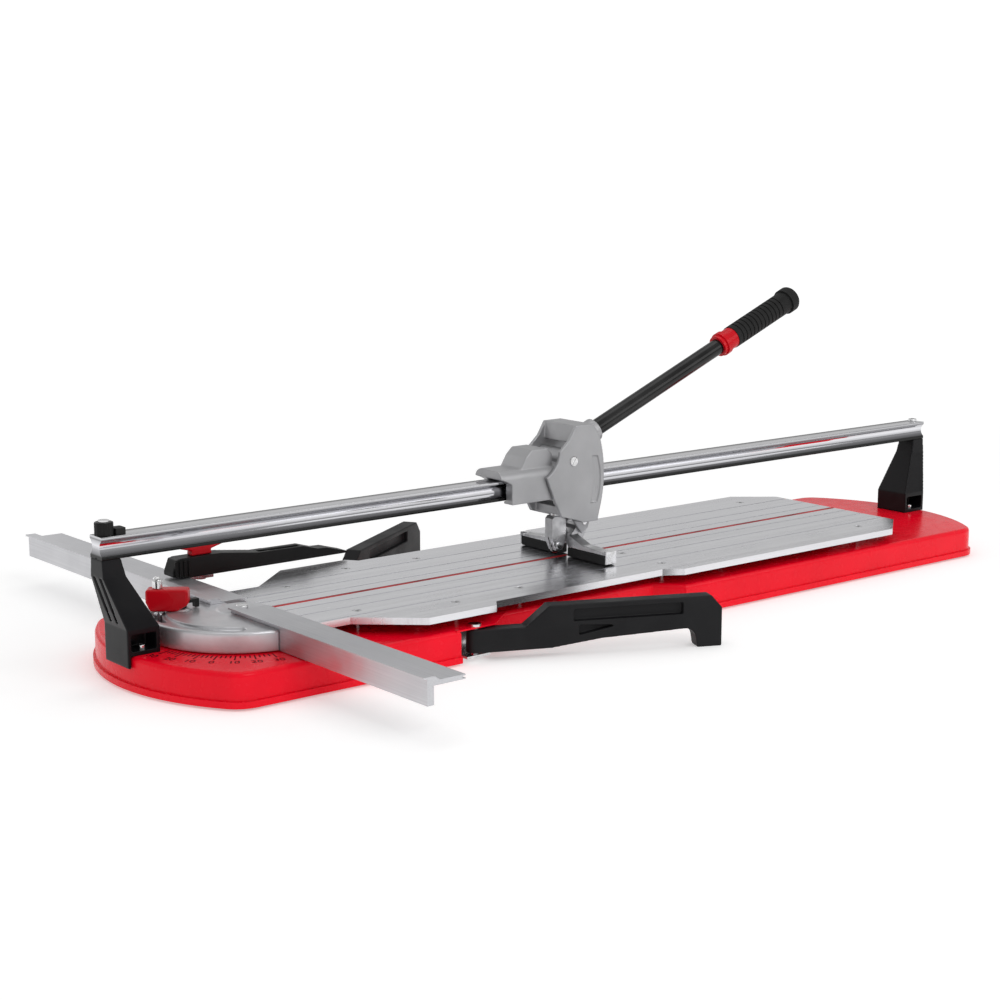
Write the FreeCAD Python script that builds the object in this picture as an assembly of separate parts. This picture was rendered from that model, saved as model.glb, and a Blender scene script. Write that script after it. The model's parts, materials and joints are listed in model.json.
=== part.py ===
"""Manual tile cutter for large tiles: red steel tray, sprung aluminium table plates,
chromed guide rail on two posts, rolling carriage with score wheel and breaker,
swivelling square with a sliding side stop, and two swing-out support arms.

Frame: millimetres, +X along the rail towards the far post, +Y away from the user,
+Z up. The origin is on the ground, under the middle of the tray.
"""
import FreeCAD, Part
import math
import os

Vec = FreeCAD.Vector

# ---------------------------------------------------------------- driving sizes
foot_height = 3.0            # what the rubber feet hold the tray off the ground
tray_length = 1423.0
tray_width = 344.0
tray_height = 41.0           # tray lip to deck
tray_end_radius = 264.0      # large arc at each end of the tray
tray_corner_radius = 40.0
tray_sheet = 2.0
lip_flare = 3.0              # how far the bottom lip stands out from the wall
lip_height = 8.0
tray_edge_radius = 6.0
fit_gap = 0.3                # between pieces of different moving bodies
running_gap = 0.05
tray_half = tray_width / 2.0
deck_top = foot_height + tray_height
deck_under = deck_top - tray_sheet

notch_start = -tray_length / 2.0 + 372.0     # wall notches that the arms fold into
notch_end = notch_start + 351.5
notch_depth = 35.0
notch_slope = 27.0
roof_length = 53.0           # deck left over the arm hub
roof_slope = 44.0

table_top = deck_top + 21.5  # height of the tiles' resting surface
plate_thickness = 3.0
plate_fold = 8.5             # depth of the folded outer edge
plate_start = -tray_length / 2.0 + 199.0
plate_end = tray_length / 2.0 - 190.0
plate_half = tray_half - 7.0
plate_neck_half = plate_half - 62.0          # half-width of the table beside the square
plate_neck_length = 56.0
plate_slope = 72.0
plate_step_start = notch_start + 58.0        # where the plate edge steps in above the arm
plate_step_half = plate_half - 16.0
plate_corner = 57.0
plate_gap = 4.0              # from the cut line to each plate
groove_width = 2.0
groove_depth = 0.8
groove_lines = (26.0, 58.0, 98.0)
spring_outer = 8.0
spring_inner = 5.5

rib_width = 5.0
rib_top = table_top + 0.2
rib_foot_half = 12.0
rib_foot_height = 3.0

rail_length = tray_length + 27.0
rail_start = -tray_length / 2.0 - 22.0
rail_width = 28.0
rail_height = 26.6
rail_waist = rail_width - 10.0
rail_flange = 4.0
rail_bottom = table_top + 91.9
rail_groove_width = 3.0
rail_groove_depth = 1.5
rail_bolt_inset = 11.0
rail_bolt_shank = 4.0
rail_bolt_depth = 30.0
rail_top = rail_bottom + rail_height
rail_mid = rail_bottom + rail_height / 2.0
rail_end = rail_start + rail_length

post_top_half = 14.0
post_foot_half = 28.0
post_wall = 5.0
post_shoulder = rail_bottom - 21.4           # height where the post begins to lean
post_knee = deck_top + 31.0                  # height where the lean ends
post_groove_offset = 7.5
post_groove_half = 3.0
post_screw_offset = 17.0

pivot_x = -tray_length / 2.0 + 168.0         # swivel axis of the square
head_radius = 117.0
head_bottom = deck_top + 1.0
head_top = deck_top + 26.0
hub_radius = 30.0
swivel_limit = 20.0
slot_radius = 100.0
clamp_angle = 147.0          # place of the clamp bolt round the head, degrees
clamp_seat = head_top - 4.0
clamp_top = head_top + 28.0
knob_bottom = head_top + 0.5
washer_radius = 8.4
clamp_bolt_radius = 4.0
clamp_dome_radius = 6.3
knob_radius = 14.0
knob_heading = -38.0
knob_wing = 38.0
pivot_bolt_radius = 6.0
pivot_head_radius = 7.5
boss_radius = 11.0
pointer_radius = 8.0
pointer_length = 24.0

bar_face_x = pivot_x - 20.0  # fence face of the square
bar_front_end = -400.0
bar_rear_end = 545.0
bar_web = 9.0
bar_flange_width = 51.0
bar_flange_bottom = table_top + 0.5
bar_flange_top = bar_flange_bottom + 5.5
bar_top = bar_flange_top + 5.0
bar_lip = 4.5
bar_split_front = -8.3
bar_split_rear = 40.3
bar_groove_low = bar_flange_bottom + 1.5     # groove along the flange's edge
bar_groove_high = bar_flange_bottom + 3.9
bar_groove_depth = 4.0
bar_screw_z = head_bottom + 8.0
bar_screw_shank = 3.0

carriage_x = -73.5           # middle of the carriage at rest
carriage_bottom = rail_bottom - 4.4
nose_top = rail_top + 15.0
lump_top = rail_top + 38.0
lump_half = 22.0
nose_length = 116.0
tail_length = 63.0
roller_radius = 8.0
roller_height = 10.0
roller_crown = 9.0
roller_gap = 0.3
roller_spread = 38.0
axle_radius = 2.5
carriage_half = rail_waist / 2.0 + 2.0 * roller_radius + 4.0
rail_clearance = 1.0

lever_pivot_x = carriage_x + 30.0
lever_pivot_z = rail_top + 18.0
lever_pin_radius = 6.0
cheek_inner = carriage_half + 0.6
cheek_thickness = 5.0
cheek_outer = cheek_inner + cheek_thickness
handle_angle = 22.5
tube_start = 44.0            # from the lever pivot, along the tube
tube_length = 411.0
tube_radius = 11.6
tube_wall = 2.0
handle_offset = 5.4
socket_length = 38.0
collar_start = 331.0
collar_length = 30.0
collar_radius = 15.5
grip_start = collar_start + collar_length
grip_length = 134.0
grip_radius = 16.5
grip_cap_radius = 19.0
grip_cap_length = 16.0
grip_groove_pitch = 8.0
grip_groove_count = 12

wheel_x = lever_pivot_x - 2.0
wheel_z = table_top + 16.5
wheel_radius = 11.0
wheel_thickness = 2.4
wheel_axle_radius = 2.5
holder_half = 7.5
holder_top = wheel_z + 42.0
holder_stud = 4.0
holder_reach = 13.0

breaker_pin_x = lever_pivot_x + 35.0
breaker_pin_z = table_top + 46.5
breaker_pin_radius = 3.5
breaker_pin_half = 18.0
breaker_half = 13.0
wing_reach = 88.0
wing_x = lever_pivot_x + 19.0
wing_half = 8.0
pad_width = 18.0
pad_height = 13.0
pad_clearance = 0.5
pad_inner = holder_half + 3.0
pad_low = table_top + pad_clearance
pad_top = pad_low + pad_height

stop_y = 177.0               # near face of the side stop at rest
stop_depth = 24.0
stop_start = pivot_x + 5.5
stop_end = stop_start + 269.5
stop_bottom = bar_flange_top + 0.5
stop_top = stop_bottom + 33.0
stop_bolt_radius = 4.0
stop_bolt_offset = 46.0
stop_bolt_head = 2.0
bracket_low = bar_flange_bottom + 0.1 + stop_bolt_head
bracket_high = stop_bottom - 0.1
bracket_reach = 34.0

arm_pivot_x = notch_start + 26.0
arm_pivot_y = tray_half - 10.0
front_open_angle = 24.0
rear_open_angle = 32.0
arm_thickness = 22.0
arm_length = notch_end - arm_pivot_x - 7.5
arm_hub_radius = 15.0
arm_top = table_top
arm_hub_top = deck_under - 1.5
arm_hub_bottom = foot_height + 8.0
arm_pin_radius = 5.0
hinge_plate_z = foot_height + 3.0
hinge_plate_half = 18.0

channel_width = 40.0
channel_pitch = (tray_length / 2.0 - 111.5) / 2.0
channel_wall = 2.0
channel_bottom = 5.0
foot_radius = 16.0
foot_stud = 4.0
foot_inset = 24.0
screw_head = 5.5
screw_head_height = 2.2
screw_shank = 3.0


# ---------------------------------------------------------------- small helpers
def box(x0, x1, y0, y1, z0, z1):
    return Part.makeBox(x1 - x0, y1 - y0, z1 - z0, Vec(x0, y0, z0))


def rod(centre, axis, radius, length):
    return Part.makeCylinder(radius, length, Vec(*centre), Vec(*axis))


def upright(x, y, z0, z1, radius):
    return rod((x, y, z0), (0, 0, 1), radius, z1 - z0)


def across(x, z, y0, y1, radius):
    return rod((x, y0, z), (0, 1, 0), radius, y1 - y0)


def ring(x, y, z0, z1, outer, inner):
    return upright(x, y, z0, z1, outer).cut(upright(x, y, z0 - 1, z1 + 1, inner))


def face_of(points):
    """Closed flat face; a point written ("arc", through, end) makes an arc."""
    edges = []
    start = Vec(*points[0])
    for item in points[1:] + [points[0]]:
        if item[0] == "arc":
            middle = Vec(*item[1])
            end = Vec(*item[2])
            edges.append(Part.Arc(start, middle, end).toShape())
        else:
            end = Vec(*item)
            if (end - start).Length > 1e-6:
                edges.append(Part.makeLine(start, end))
        start = end
    return Part.Face(Part.Wire(edges))


def plan(points, z0, z1):
    """Prism standing on an outline given as (x, y)."""
    def lift(p):
        return ("arc", (*p[1], z0), (*p[2], z0)) if p[0] == "arc" else (*p, z0)
    return face_of([lift(p) for p in points]).extrude(Vec(0, 0, z1 - z0))


def side(points, y0, y1):
    """Prism across Y of an outline given as (x, z)."""
    def lift(p):
        if p[0] == "arc":
            return ("arc", (p[1][0], y0, p[1][1]), (p[2][0], y0, p[2][1]))
        return (p[0], y0, p[1])
    return face_of([lift(p) for p in points]).extrude(Vec(0, y1 - y0, 0))


def section(points, x0, x1):
    """Prism along X of an outline given as (y, z)."""
    def lift(p):
        if p[0] == "arc":
            return ("arc", (x0, *p[1]), (x0, *p[2]))
        return (x0, *p)
    return face_of([lift(p) for p in points]).extrude(Vec(x1 - x0, 0, 0))


def fuse(shapes):
    whole = shapes[0]
    for shape in shapes[1:]:
        whole = whole.fuse(shape)
    return whole.removeSplitter()


def cut(shape, tools):
    for tool in tools:
        shape = shape.cut(tool)
    return shape


def mirror_y(shape):
    return shape.mirror(Vec(0, 0, 0), Vec(0, 1, 0))


def vertical_edges(shape, places, tolerance=0.6):
    """Edges parallel to Z that pass through the given (x, y) places."""
    found = []
    for edge in shape.Edges:
        a, b = edge.Vertexes[0].Point, edge.Vertexes[-1].Point
        if abs(a.x - b.x) < 1e-6 and abs(a.y - b.y) < 1e-6 and abs(a.z - b.z) > 1:
            if any(math.hypot(a.x - x, a.y - y) < tolerance for x, y in places):
                found.append(edge)
    return found


def both_sides(shape):
    return [shape, mirror_y(shape)]


def level_edges(shape, z):
    """Edges that lie wholly at one height."""
    return [e for e in shape.Edges
            if abs(e.BoundBox.ZMin - z) < 1e-3 and abs(e.BoundBox.ZMax - z) < 1e-3]


def cap_screw(x, y, z_seat, head_radius, head_height, shank_radius, shank_length):
    """Socket screw: head above the seat, shank below, hexagon recess in the head."""
    head = upright(x, y, z_seat, z_seat + head_height, head_radius)
    head = head.makeFillet(head_radius * 0.2, [head.Edges[0]])
    shank = upright(x, y, z_seat - shank_length, z_seat, shank_radius)
    flat = head_radius * 0.5
    corners = [(x + flat * math.cos(math.radians(a)), y + flat * math.sin(math.radians(a)))
               for a in range(0, 360, 60)]
    recess = plan(corners, z_seat + head_height * 0.45, z_seat + head_height + 1)
    return fuse([head, shank]).cut(recess)


def save(node, shape):
    if not shape.isValid():
        raise ValueError(node + " is not a valid solid")
    shape.exportStep("parts/" + node + ".step")
    print(node, len(shape.Solids), round(shape.Volume / 1000.0, 1))


# ---------------------------------------------------------------- tray
def tray_outline(inset):
    """Symmetric tray outline: an arc at each end, straight long sides."""
    radius = tray_end_radius - inset
    centre = tray_length / 2.0 - tray_end_radius
    half = tray_half - inset
    reach = centre + math.sqrt(radius ** 2 - half ** 2)
    return [(-reach, -half), (reach, -half), ("arc", (centre + radius, 0), (reach, half)),
            (-reach, half), ("arc", (-centre - radius, 0), (-reach, -half))]


def tray_block(inset, z0, z1):
    block = plan(tray_outline(inset), z0, z1)
    radius = tray_end_radius - inset
    half = tray_half - inset
    reach = tray_length / 2.0 - tray_end_radius + math.sqrt(radius ** 2 - half ** 2)
    corners = [(sx * reach, sy * half) for sx in (-1, 1) for sy in (-1, 1)]
    return block.makeFillet(tray_corner_radius - inset, vertical_edges(block, corners))


def notch(grow, z0, z1):
    """Space cut out of the front wall for a folded arm, widened by grow."""
    outer = tray_half + 5
    inner = tray_half - lip_flare - notch_depth
    slope = notch_slope * (outer - inner) / notch_depth
    return plan([(notch_start - grow, -outer), (notch_start - grow, -inner + grow),
                 (notch_end + grow, -inner + grow), (notch_end + grow + slope, -outer)], z0, z1)


def roof():
    """Deck that reaches over the arm hub, with a slanted free edge."""
    outer = tray_half - lip_flare
    inner = outer - notch_depth
    far = notch_start + roof_length
    lap = tray_edge_radius + 1
    return plan([(notch_start - lap, -outer), (far, -outer), (far + roof_slope, -inner),
                 (far + roof_slope, -inner + lap), (notch_start - lap, -inner + lap)],
                deck_under, deck_top)


def base_tray():
    outer = cut(tray_block(lip_flare, foot_height, deck_top), both_sides(notch(0, 0, 90)))
    outer = outer.makeFillet(tray_edge_radius, level_edges(outer, deck_top))
    inset = lip_flare + tray_sheet
    cavity = cut(tray_block(inset, 0, deck_under), both_sides(notch(tray_sheet, 0, 90)))
    cavity = cavity.makeFillet(tray_edge_radius - tray_sheet, level_edges(cavity, deck_under))
    lip = tray_block(0, foot_height, foot_height + lip_height)
    lip = lip.cut(tray_block(tray_sheet, 0, foot_height + lip_height - tray_sheet))
    lip = lip.cut(tray_block(inset, 0, deck_top))
    lip = cut(lip, both_sides(notch(0, 0, 90)))
    tray = fuse([outer.cut(cavity), lip] + both_sides(roof()))
    holes = [upright(x, y, 0, 90, r) for x, y, r in deck_holes()]
    return cut(tray, holes)


def channel_places():
    return [i * channel_pitch for i in (-2, -1, 0, 1, 2)]


def channel_half(x):
    """The channels end short of the tray wall, or of the notch that they pass."""
    inside = tray_half - lip_flare - tray_sheet - tray_edge_radius
    beside_notch = notch_start - channel_width < x < notch_end + channel_width
    return inside - notch_depth - tray_sheet if beside_notch else inside - 18


def foot_places():
    """Two feet under each channel, and one more under the middle of the tray."""
    places = [(x, sign * (channel_half(x) - foot_inset))
              for x in channel_places() for sign in (-1, 1)]
    return places + [(0.0, 0.0)]


def cross_channels():
    solids = []
    for x in channel_places():
        half = channel_half(x)
        tube = box(x - channel_width / 2, x + channel_width / 2, -half, half,
                   channel_bottom, deck_under)
        inner = channel_width / 2 - channel_wall
        hollow = box(x - inner, x + inner, -half - 1, half + 1,
                     channel_bottom + channel_wall, deck_under - channel_wall)
        studs = [upright(fx, fy, 0, channel_bottom + 3, foot_stud + running_gap)
                 for fx, fy in foot_places() if abs(fx - x) < channel_width]
        solids.append(cut(tube.cut(hollow), studs))
    return Part.makeCompound(solids)


def rubber_feet():
    solids = []
    for x, y in foot_places():
        pad = upright(x, y, 0, channel_bottom, foot_radius)
        pad = pad.makeFillet(1.0, level_edges(pad, 0))
        solids.append(fuse([pad, upright(x, y, channel_bottom, channel_bottom + 6, foot_stud)]))
    return Part.makeCompound(solids)


def deck_holes():
    """Holes through the deck: (x, y, radius)."""
    holes = [(pivot_x, 0, pivot_bolt_radius + running_gap)]
    holes += [(arm_pivot_x, s * arm_pivot_y, arm_pin_radius + running_gap) for s in (-1, 1)]
    holes += [(x, y, screw_shank + running_gap) for x, y in post_screw_places()]
    return holes


# ---------------------------------------------------------------- sprung table
def plate_outline(inset):
    """Front table plate, y negative, seen from above."""
    half = plate_half - inset
    step = plate_step_half - inset
    neck = plate_neck_half - inset
    a = plate_start + inset
    b = plate_end - inset
    return [(a, -plate_gap), (a, -neck), (plate_start + plate_neck_length, -neck),
            (plate_start + plate_neck_length + plate_slope, -half),
            (plate_step_start - inset, -half), (plate_step_start + 12 - inset, -step),
            (notch_end + 2 + inset, -step), (notch_end + 28 + inset, -half),
            (b - plate_corner, -half), (b, -half + plate_corner * 0.8), (b, -plate_gap)]


def plate_screw_places():
    """Screws of one plate, from its near end and its long edge."""
    return [(plate_start + 82, plate_neck_half - 23), (plate_start + 202, plate_half - 45),
            (plate_start + 312, plate_half - 55), (40.0, plate_step_half - 29), (40.0, 40.0),
            (plate_end - 82, plate_half - 45)]


def spring_places():
    return [(plate_start + 42, 45.0), (plate_start + 152, plate_half - 60), (-120.0, 80.0),
            (150.0, plate_half - 45), (350.0, 78.0), (plate_end - 52, plate_half - 75)]


def front_plate():
    plate = plan(plate_outline(0), table_top - plate_fold, table_top)
    hollow = plan(plate_outline(plate_thickness), table_top - plate_fold - 1,
                  table_top - plate_thickness)
    inner_edge = box(plate_start - 1, plate_end + 1, -plate_gap - plate_thickness - 1, 1,
                     table_top - plate_fold - 1, table_top - plate_thickness)
    plate = cut(plate, [hollow, inner_edge])
    grooves = [box(plate_start - 1, plate_end + 1, -y - groove_width / 2, -y + groove_width / 2,
                   table_top - groove_depth, table_top + 1) for y in groove_lines]
    holes = []
    for x, y in plate_screw_places():
        holes.append(upright(x, -y, 0, table_top + 1, screw_shank + fit_gap))
        holes.append(upright(x, -y, table_top - screw_head_height - 0.1, table_top + 1,
                             screw_head + fit_gap))
    return cut(plate, grooves + holes)


def plate_screws():
    """Shoulder screws that hold both plates down against their springs."""
    solids = []
    for x, y in plate_screw_places():
        for s in (-1, 1):
            solids.append(cap_screw(x, s * y, table_top - screw_head_height, screw_head,
                                    screw_head_height - 0.2, screw_shank,
                                    table_top - screw_head_height - deck_top))
    return Part.makeCompound(solids)


def plate_springs(sign):
    """Short coil springs under one plate, as their outer sleeves."""
    return Part.makeCompound([ring(x, sign * y, deck_top, table_top - plate_thickness,
                                   spring_outer, spring_inner) for x, y in spring_places()])


def breaking_rib():
    foot = box(plate_start, plate_end, -rib_foot_half, rib_foot_half,
               deck_top, deck_top + rib_foot_height)
    web = box(plate_start, plate_end, -rib_width / 2, rib_width / 2, deck_top, rib_top)
    web = web.makeChamfer(1.2, [e for e in level_edges(web, rib_top) if e.Length > 50])
    return fuse([foot, web])


# ---------------------------------------------------------------- rail and posts
def guide_rail():
    half = rail_width / 2.0
    waist = rail_waist / 2.0
    low = rail_bottom + rail_flange
    high = rail_top - rail_flange
    outline = [(-half, rail_bottom), (half, rail_bottom), (half, low),
               ("arc", (waist, rail_mid), (half, high)), (half, rail_top),
               (-half, rail_top), (-half, high), ("arc", (-waist, rail_mid), (-half, low))]
    rail = section(outline, rail_start, rail_end)
    groove = box(rail_start - 1, rail_end + 1, -rail_groove_width / 2, rail_groove_width / 2,
                 rail_top - rail_groove_depth, rail_top + 1)
    holes = [upright(x, 0, rail_bottom - 1, rail_top + 1, rail_bolt_shank + running_gap)
             for x in rail_bolt_places()]
    return cut(rail, [groove] + holes)


def rail_bolt_places():
    return [rail_start + rail_bolt_inset, rail_end - rail_bolt_inset]


def post(outer_top, inner_top, outer_foot, inner_foot, skirt):
    """One rail post, a hollow leaning casting; outer is the side away from the table."""
    way = 1 if inner_top > outer_top else -1
    outline = [(outer_top, rail_bottom), (outer_top, post_shoulder), (outer_foot, post_knee),
               (outer_foot, deck_top - skirt), (outer_foot + way * 3.5, deck_top - skirt),
               (outer_foot + way * 3.5, deck_top), (inner_foot, deck_top),
               (inner_foot, post_knee), (inner_top + way * 5, post_shoulder),
               (inner_top, rail_bottom)]
    body = side(outline, -60, 60)
    low = deck_top - skirt - 1
    ends = (outer_top, inner_top, outer_foot, inner_foot)
    taper = section([(-post_foot_half, low), (post_foot_half, low), (post_foot_half, post_knee),
                     (post_top_half + 2, post_shoulder), (post_top_half, rail_bottom),
                     (-post_top_half, rail_bottom), (-post_top_half - 2, post_shoulder),
                     (-post_foot_half, post_knee)], min(ends) - 5, max(ends) + 5)
    body = body.common(taper)
    x0, x1 = sorted((outer_foot + way * post_wall, inner_foot - way * post_wall))
    room = box(x0, x1, -60, 60, deck_top + post_wall, post_knee - 6)
    spine = box(x0 - 1, x1 + 1, -3, 3, deck_top, post_knee)
    body = body.cut(room.cut(spine))
    grooves = []
    for y in (-post_groove_offset, post_groove_offset):
        points = [(outer_top - way, post_shoulder), (outer_foot - way, post_knee + 4),
                  (outer_foot + way * 3, post_knee + 4), (outer_top + way * 3, post_shoulder)]
        grooves.append(side(points, y - post_groove_half, y + post_groove_half))
    holes = [upright(x, 0, rail_bottom - rail_bolt_depth - 1, rail_bottom + 1,
                     rail_bolt_shank + running_gap) for x in rail_bolt_places()]
    holes += [upright(x, y, deck_top - 1, deck_top + post_wall + 1, screw_shank + running_gap)
              for x, y in post_screw_places()]
    return cut(body, grooves + holes)


def near_post():
    return post(rail_start, rail_start + 24, rail_start + 21, rail_start + 63, 14)


def far_post():
    return post(rail_end, rail_end - 24, rail_end - 11, rail_end - 56, 0)


def post_screw_places():
    return [(x, s * post_screw_offset) for x in (rail_start + 44, rail_end - 34) for s in (-1, 1)]


def post_screws():
    return Part.makeCompound([cap_screw(x, y, deck_top + post_wall, 5.0, 5.0, screw_shank,
                                        post_wall + tray_sheet + 6) for x, y in post_screw_places()])


def stop_knob():
    """Round knob on the rail's near bolt."""
    x = rail_bolt_places()[0]
    knob = upright(x, 0, rail_top + 0.2, rail_top + 15.5, 11.0)
    knob = knob.makeFillet(1.5, level_edges(knob, rail_top + 15.5))
    flutes = [upright(x + 12.2 * math.cos(math.radians(a)), 12.2 * math.sin(math.radians(a)),
                      rail_top - 1, rail_top + 20, 1.9) for a in range(0, 360, 30)]
    return cut(knob, flutes + [upright(x, 0, rail_top - 1, rail_top + 20, rail_bolt_shank + running_gap)])


def stop_bumper():
    """Block beside the knob that the carriage stops against."""
    x = rail_bolt_places()[0] + 11.3
    block = box(x, x + 13, -8, 8, rail_top, rail_top + 7)
    return block.makeFillet(2.5, vertical_edges(block, [(x + 13, -8), (x + 13, 8)]))


def rail_bolts():
    near, far = rail_bolt_places()
    near_bolt = fuse([upright(near, 0, rail_bottom - rail_bolt_depth, rail_top + 16.5,
                              rail_bolt_shank),
                      upright(near, 0, rail_top + 15.6, rail_top + 17.5, 6.5)])
    far_bolt = cap_screw(far, 0, rail_top, 6.5, 4.5, rail_bolt_shank,
                         rail_height + rail_bolt_depth)
    return Part.makeCompound([near_bolt, far_bolt])


# ---------------------------------------------------------------- carriage
def roller_places():
    offset = rail_waist / 2.0 + roller_radius + roller_gap
    return [(carriage_x + dx, s * offset) for dx in (-roller_spread, roller_spread)
            for s in (-1, 1)]


def roller(x, y):
    half = roller_height / 2.0
    edge = roller_radius - (roller_crown - math.sqrt(roller_crown ** 2 - half ** 2))
    bore = axle_radius + running_gap
    outline = [(x + bore, rail_mid - half), (x + edge, rail_mid - half),
               ("arc", (x + roller_radius, rail_mid), (x + edge, rail_mid + half)),
               (x + bore, rail_mid + half)]
    lifted = [("arc", (p[1][0], y, p[1][1]), (p[2][0], y, p[2][1])) if p[0] == "arc"
              else (p[0], y, p[1]) for p in outline]
    return face_of(lifted).revolve(Vec(x, y, 0), Vec(0, 0, 1), 360)


def carriage_body():
    x0 = carriage_x - nose_length
    x1 = carriage_x + tail_length
    outline = [(-carriage_half, carriage_bottom), (carriage_half, carriage_bottom),
               (carriage_half, nose_top - 14),
               ("arc", (carriage_half - 4.1, nose_top - 4.1), (carriage_half - 14, nose_top)),
               (-carriage_half + 14, nose_top),
               ("arc", (-carriage_half + 4.1, nose_top - 4.1), (-carriage_half, nose_top - 14))]
    nose = section(outline, x0, x1)
    mouth = side([(x0 - 1, 0), (x0 + 44, 0), (x0 + 44, rail_top - 4),
                  ("arc", (x0 + 30, rail_top + 3), (x0 - 1, rail_top + 7))], -60, 60)
    lump = side([(x0 + 62, nose_top - 5), (x0 + 74, lump_top - 9), (x0 + 84, lump_top),
                 (x0 + 110, lump_top), (x0 + 118, lump_top - 8), (x0 + 118, nose_top - 5)],
                -lump_half, lump_half)
    pivot_block = box(lever_pivot_x - 15, lever_pivot_x + 15, -carriage_half, carriage_half,
                      nose_top - 16, lever_pivot_z + 3)
    crown = across(lever_pivot_x, lever_pivot_z, -carriage_half, carriage_half, 15)
    body = fuse([nose.cut(mouth), lump, pivot_block, crown])
    room_half = rail_width / 2 + rail_clearance
    channel = box(x0 - 1, x1 + 1, -room_half, room_half,
                  rail_bottom - rail_clearance, rail_top + rail_clearance)
    slot = box(x0 - 1, x1 + 1, -10, 10, 0, rail_mid)
    pockets = [upright(x, y, rail_mid - roller_height / 2 - 1, rail_mid + roller_height / 2 + 1,
                       roller_radius + 1) for x, y in roller_places()]
    pins = [upright(x, y, 0, rail_top + 8, axle_radius) for x, y in roller_places()]
    pivot = across(lever_pivot_x, lever_pivot_z, -60, 60, lever_pin_radius)
    return cut(body, [channel, slot, pivot] + pockets + pins)


def roller_axles():
    return Part.makeCompound([upright(x, y, carriage_bottom, rail_top + 8, axle_radius)
                              for x, y in roller_places()])


def rail_wipers():
    """Felt wipers that hug the rail at the mouth and the tail of the carriage."""
    solids = []
    outer = rail_width / 2 + rail_clearance
    inner = rail_width / 2 + fit_gap
    for x in (carriage_x - nose_length + 46, carriage_x + tail_length - 7):
        frame = box(x, x + 6, -outer, outer, rail_bottom, rail_top + rail_clearance)
        rail_room = box(x - 1, x + 7, -inner, inner, rail_bottom - 5, rail_top + fit_gap)
        solids += frame.cut(rail_room).Solids
    return Part.makeCompound(solids)


# ---------------------------------------------------------------- lever and handle
def along_handle(distance):
    angle = math.radians(handle_angle)
    return (lever_pivot_x + distance * math.cos(angle) - handle_offset * math.sin(angle),
            0.0,
            lever_pivot_z + distance * math.sin(angle) + handle_offset * math.cos(angle))


def handle_rod(start, length, radius):
    angle = math.radians(handle_angle)
    return rod(along_handle(start), (math.cos(angle), 0, math.sin(angle)), radius, length)


def cheek_outline():
    """Side view of a cheek: the top goes with the pivot, the foot with the table."""
    x = lever_pivot_x
    z = lever_pivot_z
    t = table_top
    return [(x - 47, z - 18), ("arc", (x - 32, z - 6), (x - 24, z + 15)), (x - 8, z + 29),
            (x + 4, z + 48), (x + 35, z + 48), (x + 47, z + 29),
            ("arc", (x + 55, z - 20), (x + 47, t + 63.5)), (x + 41, t + 38.5),
            (x + 30, t + 31.5), (x + 14, t + 52.5), (x - 20, t + 62.5), (x - 32, t + 84.5)]


def lever_casting():
    x = lever_pivot_x
    z = lever_pivot_z
    t = table_top
    cheeks = [side(cheek_outline(), s * cheek_inner, s * cheek_outer) for s in (-1, 1)]
    bridge = side([(x + 2, z + 24), (x + 4, z + 48), (x + 35, z + 48), (x + 47, z + 29),
                   (x + 43, z + 21), (x + 20, z + 21)], -cheek_outer, cheek_outer)
    yoke = side([(x - 12, t + 61.5), (x - 12, t + 73.5), (x + 10, t + 73.5), (x + 42, t + 56.5),
                 (x + 45, t + 52.5), (x + 41, t + 38.5), (x + 30, t + 31.5), (x + 14, t + 52.5)],
                -cheek_outer, cheek_outer)
    narrow = box(x - 40, x + 70, breaker_pin_half, 60, t + 24.5, t + 50.5)
    fork = box(x + 5, x + 70, -breaker_half - fit_gap, breaker_half + fit_gap, t + 24.5, t + 57.5)
    socket = handle_rod(tube_start - 8, socket_length, tube_radius + 5)
    tube_bore = handle_rod(tube_start, tube_length, tube_radius)
    pivot = across(x, z, -60, 60, lever_pin_radius + running_gap)
    pin = across(breaker_pin_x, breaker_pin_z, -60, 60, breaker_pin_radius)
    slot = side([(x + 43, z + 4), ("arc", (x + 48.5, z - 20), (x + 42, z - 62)),
                 (x + 38, z - 60), ("arc", (x + 44, z - 20), (x + 39, z + 3))],
                cheek_outer - 2.5, cheek_outer + 1)
    sweep = across(x, z, -cheek_inner, cheek_inner, 21.5)
    stud = upright(wheel_x, 0, t + 30, holder_top + 30, holder_stud)
    block_room = box(wheel_x - holder_reach - 3, wheel_x + holder_reach + 3,
                     -holder_half - 2.5, holder_half + 2.5, t + 20, holder_top + 3)
    tools = both_sides(narrow) + both_sides(slot)
    return cut(fuse(cheeks + [bridge, yoke, socket]),
               tools + [fork, tube_bore, pivot, pin, sweep, stud, block_room])


def lever_pin():
    """Axle of the lever, fixed in the carriage, with a slotted head at each end."""
    x = lever_pivot_x
    z = lever_pivot_z
    seat = cheek_outer + fit_gap
    pin = across(x, z, -seat, seat, lever_pin_radius)
    heads = both_sides(across(x, z, seat, seat + 2.5, lever_pin_radius + 2))
    slot = box(x - 9, x + 9, -seat - 4, -seat - 1.5, z - 0.8, z + 0.8)
    return fuse([pin] + heads).cut(slot)


def handle_tube():
    bar = handle_rod(tube_start, tube_length, tube_radius)
    return bar.cut(handle_rod(tube_start + 1, tube_length, tube_radius - tube_wall))


def handle_collar():
    collar = handle_rod(collar_start, collar_length, collar_radius)
    wide = handle_rod(collar_start + 6, 8, collar_radius + 2)
    return fuse([collar, wide]).cut(handle_rod(collar_start - 1, collar_length + 2, tube_radius))


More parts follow.
